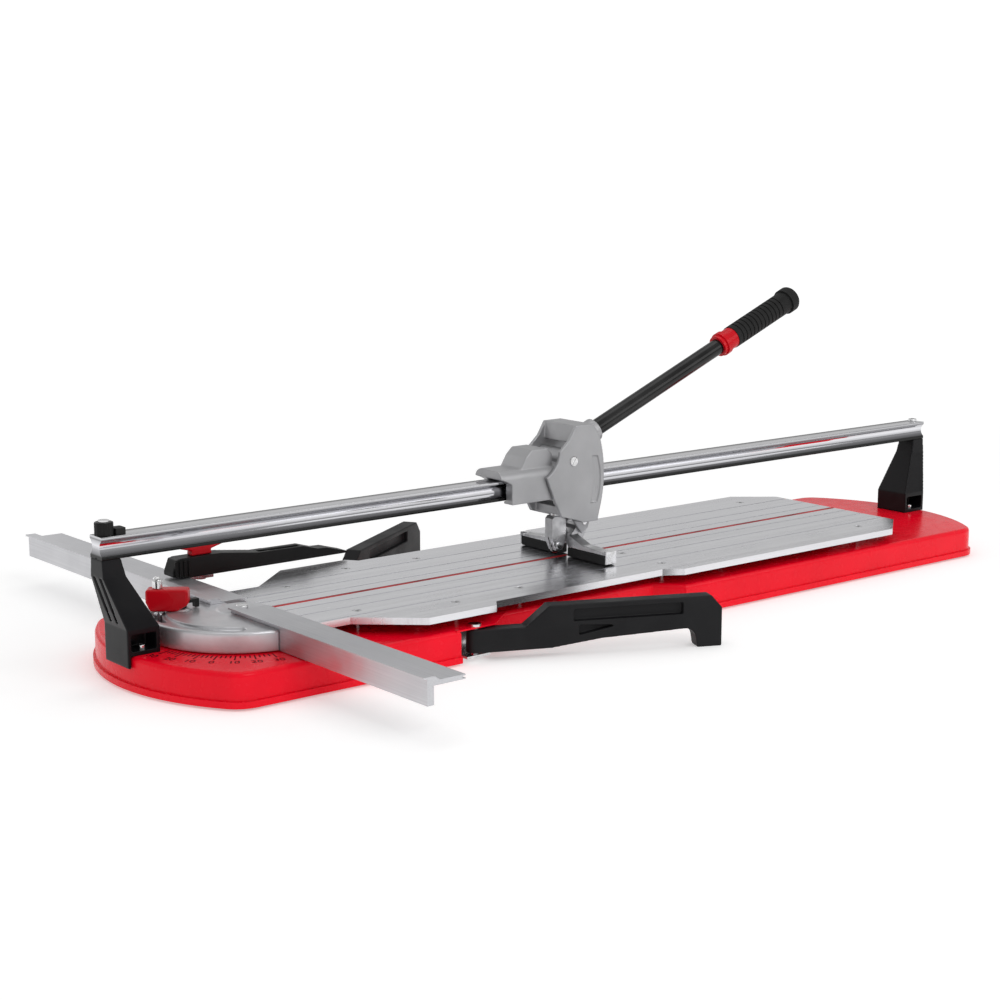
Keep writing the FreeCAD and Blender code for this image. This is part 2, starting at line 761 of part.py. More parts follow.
def handle_grip():
    grip = handle_rod(grip_start, grip_length, grip_radius)
    cap = handle_rod(grip_start + grip_length - grip_cap_length, grip_cap_length, grip_cap_radius)
    cap = cap.makeFillet(5.0, [max(cap.Edges, key=lambda e: e.CenterOfMass.x)])
    grooves = []
    for i in range(grip_groove_count):
        start = grip_start + (i + 1) * grip_groove_pitch
        grooves.append(handle_rod(start, 2, grip_radius + 3).cut(
            handle_rod(start - 1, 4, grip_radius - 1.0)))
    bore = handle_rod(grip_start - 1, tube_start + tube_length - grip_start + 1, tube_radius)
    return cut(fuse([grip, cap]), grooves + [bore])


# ---------------------------------------------------------------- scoring wheel
def wheel_holder():
    x = wheel_x
    r = holder_reach
    block = side([(x - r, wheel_z + 10), (x - r, holder_top - 4), (x - r + 4, holder_top),
                  (x + r - 4, holder_top), (x + r, holder_top - 4), (x + r, wheel_z + 10),
                  (x + 6, wheel_z - 6), (x - 6, wheel_z - 6)], -holder_half, holder_half)
    stud = upright(x, 0, holder_top - 4, holder_top + 19, holder_stud)
    slot_half = wheel_thickness / 2 + fit_gap
    slot = box(x - 20, x + 20, -slot_half, slot_half, 0, wheel_z + wheel_radius + 1.5)
    axle = across(x, wheel_z, -60, 60, wheel_axle_radius)
    return cut(fuse([block, stud]), [slot, axle])


def scoring_wheel():
    half = wheel_thickness / 2
    bore = wheel_axle_radius + running_gap
    points = [(wheel_x, -half, wheel_z + bore), (wheel_x, -half, wheel_z + wheel_radius - 1.4),
              (wheel_x, 0, wheel_z + wheel_radius), (wheel_x, half, wheel_z + wheel_radius - 1.4),
              (wheel_x, half, wheel_z + bore)]
    return face_of(points).revolve(Vec(wheel_x, 0, wheel_z), Vec(0, 1, 0), 360)


def wheel_axle():
    shank = across(wheel_x, wheel_z, -holder_half, holder_half, wheel_axle_radius)
    return fuse([shank, across(wheel_x, wheel_z, -holder_half - 1.6, -holder_half, 4.5)])


def holder_nut():
    return ring(wheel_x, 0, holder_top, holder_top + 3, 7.0, holder_stud)


# ---------------------------------------------------------------- breaker
def breaker_body():
    x = wing_x
    px = breaker_pin_x
    pz = breaker_pin_z
    post_shape = side([(x - 8, pad_top - 1), (x - 8, pad_top + 13), (px - 9, pz - 4),
                       (px - 9, pz), ("arc", (px, pz + 9), (px + 9, pz)),
                       (px + 9, pz - 8), (x + 11, pad_top - 1)], -breaker_half, breaker_half)
    room = box(wheel_x - 20, x + 2, -holder_half - 2.2, holder_half + 2.2, 0, 140)
    outline = [(5, pad_top), (5, pad_top + 15), (breaker_half, pad_top + 17), (40, pad_top + 7),
               (wing_reach, pad_top + 4), (wing_reach, pad_top)]
    wing = section(outline, x - wing_half, x + wing_half)
    bottom = box(x - 30, x + 30, -200, 200, 0, pad_top)
    pin = across(px, pz, -60, 60, breaker_pin_radius + running_gap)
    return cut(fuse([post_shape] + both_sides(wing)), [bottom, pin, room])


def breaker_pads():
    half = pad_width / 2
    pad = box(wing_x - half, wing_x + half, pad_inner, wing_reach, pad_low, pad_top)
    return Part.makeCompound(both_sides(pad.makeFillet(2.0, level_edges(pad, pad_low))))


def pad_clips():
    """Folded steel clips that hold each pad on its wing."""
    high = pad_top + 5.8
    end = box(wing_x - pad_width / 2, wing_x + pad_width / 2, wing_reach + 0.1,
              wing_reach + 2.1, pad_low + 2, high)
    top = box(wing_x - 5, wing_x + 5, wing_reach - 7, wing_reach + 2.1, high - 1.2, high)
    return Part.makeCompound(both_sides(fuse([end, top])))


def breaker_pin():
    return across(breaker_pin_x, breaker_pin_z, -breaker_pin_half, breaker_pin_half,
                  breaker_pin_radius)


# ---------------------------------------------------------------- square
def bar_section(y0, y1):
    x = bar_face_x
    edge = x + bar_flange_width
    outline = [(x - bar_lip, bar_top - 2), (x - bar_lip, bar_top), (x + bar_web + 1, bar_top),
               (x + bar_web + 8, bar_flange_top), (edge, bar_flange_top),
               (edge, bar_groove_high), (edge - bar_groove_depth, bar_groove_high),
               (edge - bar_groove_depth, bar_groove_low), (edge, bar_groove_low),
               (edge, bar_flange_bottom), (x + bar_web, bar_flange_bottom),
               (x + bar_web, head_bottom), (x, head_bottom), (x, bar_top - 3)]
    return side(outline, y0, y1)


def front_bar():
    return cut(bar_section(bar_front_end, bar_split_front), bar_screw_holes())


def rear_bar():
    return cut(bar_section(bar_split_rear, bar_rear_end), bar_screw_holes())


def bar_screw_places():
    return [s * y for s in (-1, 1) for y in (56.0, 96.0)]


def bar_screw_holes():
    return [rod((bar_face_x - 20.5, y, bar_screw_z), (1, 0, 0), bar_screw_shank + running_gap, 50)
            for y in bar_screw_places()]


def bar_screws():
    solids = []
    for y in bar_screw_places():
        shank = rod((bar_face_x - 20, y, bar_screw_z), (1, 0, 0), bar_screw_shank, 20 + bar_web)
        head = rod((bar_face_x + bar_web, y, bar_screw_z), (1, 0, 0), 5.0, 4.0)
        solids.append(fuse([shank, head]))
    return Part.makeCompound(solids)


def clamp_place():
    angle = math.radians(clamp_angle)
    return (pivot_x + slot_radius * math.cos(angle), slot_radius * math.sin(angle))


def arc_slot(radius, half_width, start, end, z0, z1):
    """Curved slot about the swivel axis, with round ends; angles in degrees."""
    def at(r, a):
        return (pivot_x + r * math.cos(math.radians(a)), r * math.sin(math.radians(a)))
    middle = (start + end) / 2.0
    cap = math.degrees(half_width / radius)
    outer, inner = radius + half_width, radius - half_width
    return plan([at(outer, start), ("arc", at(outer, middle), at(outer, end)),
                 ("arc", at(radius, end + cap), at(inner, end)),
                 ("arc", at(inner, middle), at(inner, start)),
                 ("arc", at(radius, start - cap), at(outer, start))], z0, z1)


def swivel_head():
    x = pivot_x
    disc = upright(x, 0, head_bottom, head_top, head_radius)
    disc = disc.makeFillet(3.0, level_edges(disc, head_top))
    left = disc.common(box(x - 200, bar_face_x - 0.1, -200, 200, 0, 200))
    hub = upright(x, 0, head_bottom, bar_flange_top - 0.5, hub_radius)
    hub = hub.common(box(x - 60, x + 60, bar_split_front + 0.2, 60, 0, 200))
    low_hub = upright(x, 0, head_bottom, head_bottom + 10, hub_radius)
    low_hub = low_hub.common(box(bar_face_x + bar_web + 0.2, x + 60, -60, 60, 0, 200))
    bridge = box(bar_face_x - 40, x, bar_split_front + 0.2, bar_split_rear - 0.2,
                 head_bottom, head_top)
    sweep = swivel_limit + 3
    slot = arc_slot(slot_radius, clamp_bolt_radius + 0.4, clamp_angle - sweep,
                    clamp_angle + sweep, 0, 200)
    seat = arc_slot(slot_radius, washer_radius + 2 * fit_gap, clamp_angle - sweep, 236,
                    clamp_seat, 200)
    pivot = upright(x, 0, 0, 200, pivot_bolt_radius + running_gap)
    body = cut(fuse([left, hub, low_hub, bridge]), [slot, seat, pivot] + bar_screw_holes())
    return fuse([body, upright(*boss_place(), head_top - 5, head_top + 3, boss_radius)])


def boss_place():
    return (pivot_x - 62.0, 40.0)


def pivot_bolt():
    z = bar_flange_top - 0.4
    shank = upright(pivot_x, 0, deck_under - 10, z, pivot_bolt_radius)
    head = upright(pivot_x, 0, z, z + 4, pivot_head_radius)
    return fuse([shank, head.makeFillet(1.5, level_edges(head, z + 4))])


def pivot_nut():
    return ring(pivot_x, 0, deck_under - 9, deck_under - 0.1, 9.5, pivot_bolt_radius)


def clamp_bolt():
    x, y = clamp_place()
    dome = Part.makeSphere(clamp_dome_radius, Vec(x, y, clamp_top + 8), Vec(0, 0, 1), 0, 90, 360)
    return fuse([upright(x, y, deck_top, clamp_top + 2, clamp_bolt_radius),
                 upright(x, y, clamp_top + 0.4, clamp_top + 8, clamp_dome_radius), dome])


def clamp_knob():
    """Clamp lever: round hub with a handle to one side."""
    x, y = clamp_place()
    waist = knob_bottom + 10
    hub = Part.makeCone(knob_radius - 4, knob_radius, 10.0, Vec(x, y, knob_bottom), Vec(0, 0, 1))
    top = upright(x, y, waist, clamp_top, knob_radius)
    wing_top = clamp_top - 2
    wing_low = clamp_top - 14
    wing = plan([(0, -11), (knob_wing - 8, -9), ("arc", (knob_wing, 0), (knob_wing - 8, 9)),
                 (0, 11)], wing_low, wing_top)
    wing = wing.makeFillet(3.0, level_edges(wing, wing_top) + level_edges(wing, wing_low))
    wing.rotate(Vec(0, 0, 0), Vec(0, 0, 1), knob_heading)
    wing.translate(Vec(x, y, 0))
    knob = fuse([hub, top.makeFillet(2.0, level_edges(top, clamp_top)), wing])
    return knob.cut(upright(x, y, 0, 200, clamp_bolt_radius + running_gap))


def clamp_washer():
    x, y = clamp_place()
    return ring(x, y, clamp_seat + fit_gap, knob_bottom - fit_gap, washer_radius,
                clamp_bolt_radius + running_gap)


def angle_pointer():
    """Spring finger on the boss that reads the angle."""
    x, y = boss_place()
    top = head_top + 12
    arm = box(x, x + pointer_length, y - 4, y + 4, head_top + 8, top)
    tip = box(x + pointer_length - 5, x + pointer_length, y - 4, y + 4, head_top + 1.5, top)
    return fuse([upright(x, y, head_top + 3, top, pointer_radius), arm, tip])


# ---------------------------------------------------------------- side stop
def side_stop():
    """Black stop that slides along the rear bar; its long arm lies along the rail."""
    x0 = stop_start
    x1 = stop_end
    z = stop_bottom
    block = side([(x0, z + 12), (x0 + 6, stop_top - 2), (x0 + 12, stop_top),
                  (x0 + 73, stop_top), (x0 + 128, z + 24), (x0 + 200, z + 23),
                  (x0 + 222, z + 15), (x0 + 238, z + 14), (x1, z + 3), (x1, z),
                  (x0 + 24, z), (x0, z + 4)], stop_y, stop_y + stop_depth)
    pockets = [side([(a + 6, z + 10), (a + 6, z + h), (b - 6, z + h2), (b - 6, z + 10)],
                    stop_y + stop_depth - 8, stop_y + stop_depth + 1)
               for a, b, h, h2 in ((x0 + 80, x0 + 130, 26, 18), (x0 + 130, x0 + 195, 18, 17))]
    recess = box(x0 + 132, x0 + 196, stop_y + 5, stop_y + stop_depth - 10, z + 18, z + 40)
    bore = upright(*stop_knob_place(), z - 1, stop_top + 1, stop_bolt_radius + running_gap)
    return cut(block, pockets + [recess, bore])


def stop_knob_place():
    return (stop_start + stop_bolt_offset, stop_y + stop_depth / 2.0)


def stop_clamp_bolt():
    x, y = stop_knob_place()
    return fuse([upright(x, y, bracket_low, stop_top + 10, stop_bolt_radius),
                 upright(x, y, bracket_low - stop_bolt_head, bracket_low, stop_bolt_radius * 2)])


def stop_clamp_knob():
    x, y = stop_knob_place()
    low = stop_top + 5
    high = stop_top + 9
    stem = upright(x, y, stop_top + fit_gap, high, 10.0)
    plate = box(x - 26, x + 26, y - 8, y + 8, low, high)
    ends = [upright(x + s * 26, y, low, high, 8.0) for s in (-1, 1)]
    return fuse([stem, plate] + ends).cut(upright(x, y, 0, 300, stop_bolt_radius + running_gap))


def stop_bracket():
    """Steel plate under the stop, with a tongue that grips the groove in the bar's edge."""
    x, y = stop_knob_place()
    edge = bar_face_x + bar_flange_width + fit_gap
    y0 = stop_y + 1
    y1 = stop_y + stop_depth - 1
    plate = box(edge, edge + bracket_reach, y0, y1, bracket_low, bracket_high)
    tongue = box(edge - bar_groove_depth, edge + 3, y0, y1,
                 bar_groove_low + fit_gap, bar_groove_high - fit_gap)
    hole = upright(x, y, 0, 200, stop_bolt_radius + running_gap)
    return fuse([plate, tongue]).cut(hole)


# ---------------------------------------------------------------- support arms
def arm_profile():
    """Side view of an arm: distance from its hinge, height."""
    low = arm_hub_bottom
    return [(-arm_hub_radius, low), (-arm_hub_radius, arm_hub_top), (62, arm_hub_top),
            (92, arm_top), (arm_length - 14, arm_top), (arm_length, arm_top - 16),
            (arm_length, 0), (arm_length - 32, 0), (arm_length - 35, 16),
            ("arc", (arm_length - 40, 22), (arm_length - 48, 25)), (160, low + 9), (96, low + 1)]


def support_arm(sign, open_angle):
    """Arm hinged in the tray's notch; its foot stands on the ground."""
    half = arm_thickness / 2.0
    pin = upright(0, 0, 0, 100, arm_pin_radius + running_gap)
    keep = fuse([upright(0, 0, 0, 100, half), box(0, 400, -half, half, -1, 100)])
    arm = side(arm_profile(), -half, half).common(keep)
    slot = side([(123, arm_top - 21.5), (266, arm_top - 21.5), (266, arm_top - 6.5),
                 (123, arm_top - 6.5)], -half - 1, -half + 7)
    triangle = side([(130, arm_top - 39.5), (130, arm_top - 26.5), (182, arm_top - 29.5)],
                    -half - 1, -half + 7)
    underside = side([(185, 15), (185, 34), (268, 34), (268, 15)], -half + 4, half - 4)
    arm = cut(arm, both_sides(slot) + both_sides(triangle) + [underside, pin])
    arm.rotate(Vec(0, 0, 0), Vec(0, 0, 1), sign * open_angle)
    arm.translate(Vec(arm_pivot_x, sign * arm_pivot_y, 0))
    return arm


def arm_pins():
    head = arm_pin_radius + 3
    return Part.makeCompound([
        fuse([upright(arm_pivot_x, s * arm_pivot_y, hinge_plate_z, deck_top, arm_pin_radius),
              upright(arm_pivot_x, s * arm_pivot_y, deck_top, deck_top + 3, head)])
        for s in (-1, 1)])


def hinge_brackets():
    """Steel angles inside the notch that carry the lower end of each hinge pin."""
    wall = tray_half - lip_flare - notch_depth + 0.1
    x0 = arm_pivot_x - hinge_plate_half
    x1 = arm_pivot_x + hinge_plate_half
    shelf = box(x0, x1, wall, arm_pivot_y + 8, hinge_plate_z, hinge_plate_z + 3)
    back = box(x0, x1, wall, wall + 2, hinge_plate_z, deck_under - 6)
    hole = upright(arm_pivot_x, arm_pivot_y, 0, 60, arm_pin_radius)
    return Part.makeCompound(both_sides(fuse([shelf, back]).cut(hole)))


# ---------------------------------------------------------------- build
def build():
    os.makedirs("parts", exist_ok=True)
    save("base_tray", base_tray())
    save("cross_channels", cross_channels())
    save("rubber_feet", rubber_feet())
    plate = front_plate()
    save("front_plate", plate)
    save("rear_plate", mirror_y(plate))
    save("plate_screws", plate_screws())
    save("front_springs", plate_springs(-1))
    save("rear_springs", plate_springs(1))
    save("breaking_rib", breaking_rib())
    save("guide_rail", guide_rail())
    save("near_post", near_post())
    save("far_post", far_post())
    save("post_screws", post_screws())
    save("rail_bolts", rail_bolts())
    save("stop_knob", stop_knob())
    save("stop_bumper", stop_bumper())
    save("carriage_body", carriage_body())
    for i, (x, y) in enumerate(roller_places()):
        save("roller_" + str(i + 1), roller(x, y))
    save("roller_axles", roller_axles())
    save("rail_wipers", rail_wipers())
    save("lever_casting", lever_casting())
    save("lever_pin", lever_pin())
    save("handle_tube", handle_tube())
    save("handle_collar", handle_collar())
    save("handle_grip", handle_grip())
    save("wheel_holder", wheel_holder())
    save("holder_nut", holder_nut())
    save("scoring_wheel", scoring_wheel())
    save("wheel_axle", wheel_axle())
    save("breaker_body", breaker_body())
    save("breaker_pads", breaker_pads())
    save("pad_clips", pad_clips())
    save("breaker_pin", breaker_pin())
    save("swivel_head", swivel_head())
    save("pivot_bolt", pivot_bolt())
    save("pivot_nut", pivot_nut())
    save("front_bar", front_bar())
    save("rear_bar", rear_bar())
    save("bar_screws", bar_screws())
    save("clamp_bolt", clamp_bolt())
    save("clamp_washer", clamp_washer())
    save("clamp_knob", clamp_knob())
    save("angle_pointer", angle_pointer())
    save("side_stop", side_stop())
    save("stop_clamp_bolt", stop_clamp_bolt())
    save("stop_clamp_knob", stop_clamp_knob())
    save("stop_bracket", stop_bracket())
    save("front_arm", support_arm(-1, front_open_angle))
    save("rear_arm", support_arm(1, rear_open_angle))
    save("arm_pins", arm_pins())
    save("hinge_brackets", hinge_brackets())


build()
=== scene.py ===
import json
import math
import bmesh
import bpy
from mathutils import Matrix, Vector


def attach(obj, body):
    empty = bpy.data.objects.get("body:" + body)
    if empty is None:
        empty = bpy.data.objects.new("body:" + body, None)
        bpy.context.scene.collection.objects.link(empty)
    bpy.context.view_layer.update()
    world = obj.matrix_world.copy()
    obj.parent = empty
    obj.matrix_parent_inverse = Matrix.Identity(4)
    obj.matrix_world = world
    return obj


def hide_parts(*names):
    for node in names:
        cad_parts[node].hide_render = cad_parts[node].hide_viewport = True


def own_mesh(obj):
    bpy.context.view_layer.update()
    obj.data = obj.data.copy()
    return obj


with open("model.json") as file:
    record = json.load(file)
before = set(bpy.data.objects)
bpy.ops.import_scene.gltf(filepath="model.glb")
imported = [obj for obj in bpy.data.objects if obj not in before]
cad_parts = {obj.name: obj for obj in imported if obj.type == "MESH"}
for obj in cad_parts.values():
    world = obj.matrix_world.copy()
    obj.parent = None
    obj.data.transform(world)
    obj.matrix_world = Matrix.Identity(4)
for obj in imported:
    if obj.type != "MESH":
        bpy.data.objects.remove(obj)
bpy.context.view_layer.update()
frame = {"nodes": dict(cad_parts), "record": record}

mm = 0.001
slotOf = {entry["node"]: entry["material_slot"] for entry in frame["record"]["subparts"]}
bodyOf = {node: body for body, nodes in frame["record"]["behaviour"]["bodies"].items() for node in nodes}
print("frame loaded:", len(frame["nodes"]), "nodes")


# node trees: one way to add a node, and sums written as expressions
class Term:
    def __init__(self, tree, socket):
        self.tree = tree
        self.socket = socket

    def combine(self, operation, *values):
        node = self.tree.add("ShaderNodeMath", {"operation": operation}, dict(enumerate(values)))
        return Term(self.tree, node.outputs[0])

    def __add__(self, other):
        return self.combine("ADD", self, other)

    def __rsub__(self, other):
        return self.combine("SUBTRACT", other, self)

    def __mul__(self, other):
        return self.combine("MULTIPLY", self, other)

    def __gt__(self, other):
        return self.combine("GREATER_THAN", self, other)


class Tree:
    def __init__(self, tree):
        self.tree = tree

    def add(self, kind, settings=None, sockets=None):
        node = self.tree.nodes.new(kind)
        for name, value in (settings or {}).items():
            if name == "stops":
                self.setStops(node.color_ramp, value)
            else:
                setattr(node, name, value)
        for name, value in (sockets or {}).items():
            self.feed(node.inputs[name], value)
        return node

    def setStops(self, ramp, stops):
        while len(ramp.elements) < len(stops):
            ramp.elements.new(0.5)
        for element, (place, colour) in zip(ramp.elements, stops):
            element.position = place
            element.color = colour

    def feed(self, socket, value):
        if isinstance(value, Term):
            value = value.socket
        if isinstance(value, bpy.types.NodeSocket):
            self.tree.links.new(value, socket)
        else:
            socket.default_value = value

    def mix(self, factor, first, second):
        node = self.add("ShaderNodeMix", {"data_type": "RGBA"}, {0: factor, 6: first, 7: second})
        return node.outputs[2]


class Paint(Tree):
    def __init__(self, name):
        self.material = bpy.data.materials.new(name)
        self.material.use_nodes = True
        super().__init__(self.material.node_tree)
        self.shader = self.tree.nodes["Principled BSDF"]
        self.place = self.add("ShaderNodeTexCoord").outputs["Object"]

    def stretched(self, scale):
        return self.add("ShaderNodeMapping", {}, {"Vector": self.place, "Scale": scale}).outputs[0]

    def noise(self, scale, detail=3.0, at=None, rough=0.5):
        node = self.add("ShaderNodeTexNoise", {}, {
            "Vector": at or self.place, "Scale": scale, "Detail": detail, "Roughness": rough})
        return Term(self, node.outputs["Fac"])

    def cells(self, scale):
        node = self.add("ShaderNodeTexVoronoi", {}, {"Vector": self.place, "Scale": scale})
        return Term(self, node.outputs["Distance"])

    def spread(self, term, low, high, fromLow=0.35, fromHigh=0.65):
        node = self.add("ShaderNodeMapRange", {}, {
            "Value": term, "From Min": fromLow, "From Max": fromHigh, "To Min": low, "To Max": high})
        return Term(self, node.outputs["Result"])

    def bump(self, height, depth, normal=None):
        sockets = {"Height": height, "Distance": depth, "Strength": 1.0}
        if normal is not None:
            sockets["Normal"] = normal
        return self.add("ShaderNodeBump", {}, sockets).outputs[0]

    def softEdge(self, radius):
        return self.add("ShaderNodeBevel", {"samples": 4}, {"Radius": radius}).outputs[0]

    def finish(self, **values):
        for name, value in values.items():
            self.feed(self.shader.inputs[name.replace("_", " ")], value)
        return self.material


def grey(value, blue=0.0):
    return (value, value, value + blue, 1.0)


# finishes: scales are waves per metre, depths and edges are in metres
trayLook = {
    "red": (0.92, 0.001, 0.018, 1.0), "deep": (0.82, 0.001, 0.015, 1.0), "cloud": 9.0,
    "peel": 260.0, "peelDepth": 0.00003,  # waves of the powder coat
    "dust": 60.0, "roughness": (0.22, 0.30), "gloss": 0.16, "coat": 0.03, "edge": 0.0010}


def makeTrayRed():
    look = trayLook
    paint = Paint("trayRed")
    peel = paint.noise(look["peel"], 2.0)
    colour = paint.mix(paint.spread(paint.noise(look["cloud"], 2.0), 0.0, 1.0), look["red"], look["deep"])
    rough = paint.spread(paint.noise(look["dust"], 5.0), *look["roughness"])
    return paint.finish(Base_Color=colour, Roughness=rough, Specular_IOR_Level=look["gloss"],
                        Coat_Weight=look["coat"],
                        Normal=paint.bump(peel, look["peelDepth"], normal=paint.softEdge(look["edge"])))


tableLook = {
    "light": grey(0.80, 0.025), "dark": grey(0.72, 0.025),
    "drawn": (3.0, 700.0, 40.0), "drawnDepth": 0.000006,  # fine lines along the rail
    "broad": (1.5, 90.0, 4.0), "roughness": (0.20, 0.27),
    "scuff": 14.0, "scuffRoughness": 0.06}


def makeTableAluminium():
    look = tableLook
    paint = Paint("tableAluminium")
    drawn = paint.noise(1.0, 4.0, paint.stretched(look["drawn"]), 0.7)
    broad = paint.noise(1.0, 2.0, paint.stretched(look["broad"]))
    scuff = paint.noise(look["scuff"], 6.0)
    colour = paint.mix(paint.spread(drawn, 0.0, 1.0), look["light"], look["dark"])
    rough = (paint.spread(broad, *look["roughness"])
             + paint.spread(scuff, 0.0, look["scuffRoughness"], 0.5, 0.8))
    return paint.finish(Base_Color=colour, Metallic=1.0, Roughness=rough,
                        Normal=paint.bump(drawn, look["drawnDepth"]))


barLook = {
    "light": grey(0.62, 0.02), "dark": grey(0.55, 0.02), "metallic": 0.9,
    "drawn": (700.0, 4.0, 700.0), "drawnDepth": 0.000008,  # fine lines along the bars
    "cloud": 25.0, "roughness": (0.32, 0.42), "edge": 0.0006}


def makeBarAluminium():
    look = barLook
    paint = Paint("barAluminium")
    drawn = paint.noise(1.0, 4.0, paint.stretched(look["drawn"]), 0.7)
    colour = paint.mix(paint.spread(drawn, 0.0, 1.0), look["light"], look["dark"])
    rough = paint.spread(paint.noise(look["cloud"], 3.0), *look["roughness"])
    return paint.finish(Base_Color=colour, Metallic=look["metallic"], Roughness=rough,
                        Normal=paint.bump(drawn, look["drawnDepth"], normal=paint.softEdge(look["edge"])))


castLooks = {
    "castGrey": {"light": grey(0.44, 0.01), "dark": grey(0.36, 0.01), "cloud": (18.0, 3.0), "patches": (0.2, 0.6),
                 "metallic": 0.70, "roughness": (0.38, 0.52), "grain": 900.0, "grainDepth": 0.00008},
    "brightCast": {"light": grey(0.62, 0.01), "dark": grey(0.42, 0.01), "cloud": (60.0, 4.0), "patches": (0.0, 1.0),
                   "metallic": 0.95, "roughness": (0.24, 0.38), "grain": 900.0, "grainDepth": 0.00008},
    "satinHead": {"light": grey(0.66, 0.02), "dark": grey(0.54, 0.02), "cloud": (22.0, 4.0), "patches": (0.0, 1.0),
                  "metallic": 0.75, "roughness": (0.30, 0.42), "grain": 900.0, "grainDepth": 0.00003},
}


def makeCast(name):
    look = castLooks[name]
    paint = Paint(name)
    grain = paint.noise(look["grain"], 2.0)
    cloud = paint.noise(*look["cloud"])
    colour = paint.mix(paint.spread(cloud, *look["patches"]), look["light"], look["dark"])
    return paint.finish(Base_Color=colour, Metallic=look["metallic"],
                        Roughness=paint.spread(cloud, *look["roughness"]),
                        Normal=paint.bump(grain, look["grainDepth"]))


railLook = {
    "ground": (2.0, 1200.0, 1200.0), "groundDepth": 0.000004, "roughness": (0.06, 0.12),
    "low": 0.1570, "high": 0.1845,  # heights between which the painted shade and reflection bands lie
    # painted light: near black at the bottom is painted shade under the rail, and the greys above, light and dark,
    # are painted highlights and reflections
    "paintedShadeAndReflectionBands": [(0.0, grey(0.02)), (0.16, grey(0.03)), (0.22, grey(0.20, 0.01)), (0.42, grey(0.42, 0.02)),
              (0.60, grey(0.80, 0.03)), (0.80, grey(0.50, 0.02)), (0.86, grey(0.22, 0.01)),
              (0.93, grey(0.60, 0.02)), (1.0, grey(0.62, 0.02))]}


def makeRailChrome():
    look = railLook
    paint = Paint("railChrome")
    ground = paint.noise(1.0, 3.0, paint.stretched(look["ground"]))
    height = paint.add("ShaderNodeSeparateXYZ", {}, {"Vector": paint.place}).outputs["Z"]
    share = paint.spread(Term(paint, height), 0.0, 1.0, look["low"], look["high"])
    # the chrome's colour is painted by height: painted shade low on the rail, painted highlights and reflections
    # higher up
    paintedShadeAndReflectionBands = paint.add("ShaderNodeValToRGB", {"stops": look["paintedShadeAndReflectionBands"]}, {"Fac": share}).outputs["Color"]
    return paint.finish(Base_Color=paintedShadeAndReflectionBands, Metallic=1.0, Roughness=paint.spread(ground, *look["roughness"]),
                        Normal=paint.bump(ground, look["groundDepth"]))


steelLooks = {
    "zincSteel": {"light": grey(0.80, 0.01), "dark": grey(0.66), "roughness": (0.16, 0.28)},
    "springSteel": {"light": grey(0.45), "dark": grey(0.33), "roughness": (0.25, 0.38)},
    "carbide": {"light": grey(0.38), "dark": grey(0.28), "roughness": (0.15, 0.28)},
}
steelGrain = {"cloud": 120.0, "turned": (700.0, 700.0, 60.0), "turnedDepth": 0.000006}


def makeSteel(name):
    look = steelLooks[name]
    paint = Paint(name)
    cloud = paint.noise(steelGrain["cloud"], 4.0)
    turned = paint.noise(1.0, 3.0, paint.stretched(steelGrain["turned"]))
    colour = paint.mix(paint.spread(cloud, 0.0, 1.0), look["light"], look["dark"])
    return paint.finish(Base_Color=colour, Metallic=1.0, Roughness=paint.spread(cloud, *look["roughness"]),
                        Normal=paint.bump(turned, steelGrain["turnedDepth"]))


zincLook = {"light": grey(0.60, 0.02), "dark": grey(0.42, 0.02), "spangle": 90.0, "size": 0.8, "metallic": 0.9,
            "roughness": (0.30, 0.55)}


def makeGalvanised():
    look = zincLook
    paint = Paint("galvanised")
    spangle = paint.cells(look["spangle"])
    colour = paint.mix(paint.spread(spangle, 0.0, 1.0, 0.0, look["size"]), look["light"], look["dark"])
    return paint.finish(Base_Color=colour, Metallic=look["metallic"],
                        Roughness=paint.spread(spangle, *look["roughness"], 0.0, look["size"]))


mouldedLooks = {
    "postBlack": {"light": grey(0.004, 0.001), "dark": grey(0.007, 0.001), "grain": 700.0, "grainDepth": 0.00005,
                  "roughness": (0.28, 0.40), "edge": 0.0010},
    "redPlastic": {"light": (0.60, 0.004, 0.012, 1.0), "dark": (0.50, 0.003, 0.009, 1.0), "grain": 500.0,
                   "grainDepth": 0.00004, "roughness": (0.22, 0.34), "edge": 0.0005},
    "blackPlastic": {"light": grey(0.006), "dark": grey(0.010), "grain": 800.0, "grainDepth": 0.00005,
                     "roughness": (0.30, 0.42), "edge": 0.0005},
    "armPlastic": {"light": grey(0.007, 0.001), "dark": grey(0.012, 0.001), "grain": 1100.0,
                   "grainDepth": 0.00010, "roughness": (0.42, 0.56), "edge": 0.0008},
    "blackRubber": {"light": grey(0.012), "dark": grey(0.022), "grain": 900.0, "grainDepth": 0.00008,
                    "roughness": (0.50, 0.68), "edge": 0.0005},
}
mouldedGloss = 0.18


def makeMoulded(name):
    look = mouldedLooks[name]
    paint = Paint(name)
    grain = paint.noise(look["grain"], 3.0)
    cloud = paint.noise(18.0, 3.0)
    colour = paint.mix(paint.spread(cloud, 0.0, 1.0), look["light"], look["dark"])
    return paint.finish(Base_Color=colour, Roughness=paint.spread(cloud, *look["roughness"]),
                        Specular_IOR_Level=mouldedGloss,
                        Normal=paint.bump(grain, look["grainDepth"], normal=paint.softEdge(look["edge"])))


lacquerLooks = {
    "ribRed": {"colour": (0.60, 0.001, 0.006, 1.0), "roughness": (0.30, 0.42)},
    "tubeBlack": {"colour": grey(0.004), "roughness": (0.12, 0.20)},
}
lacquerShade = {"worn": grey(0.03), "wear": 0.5, "cloud": 20.0, "peel": 300.0, "peelDepth": 0.00004, "gloss": 0.3}


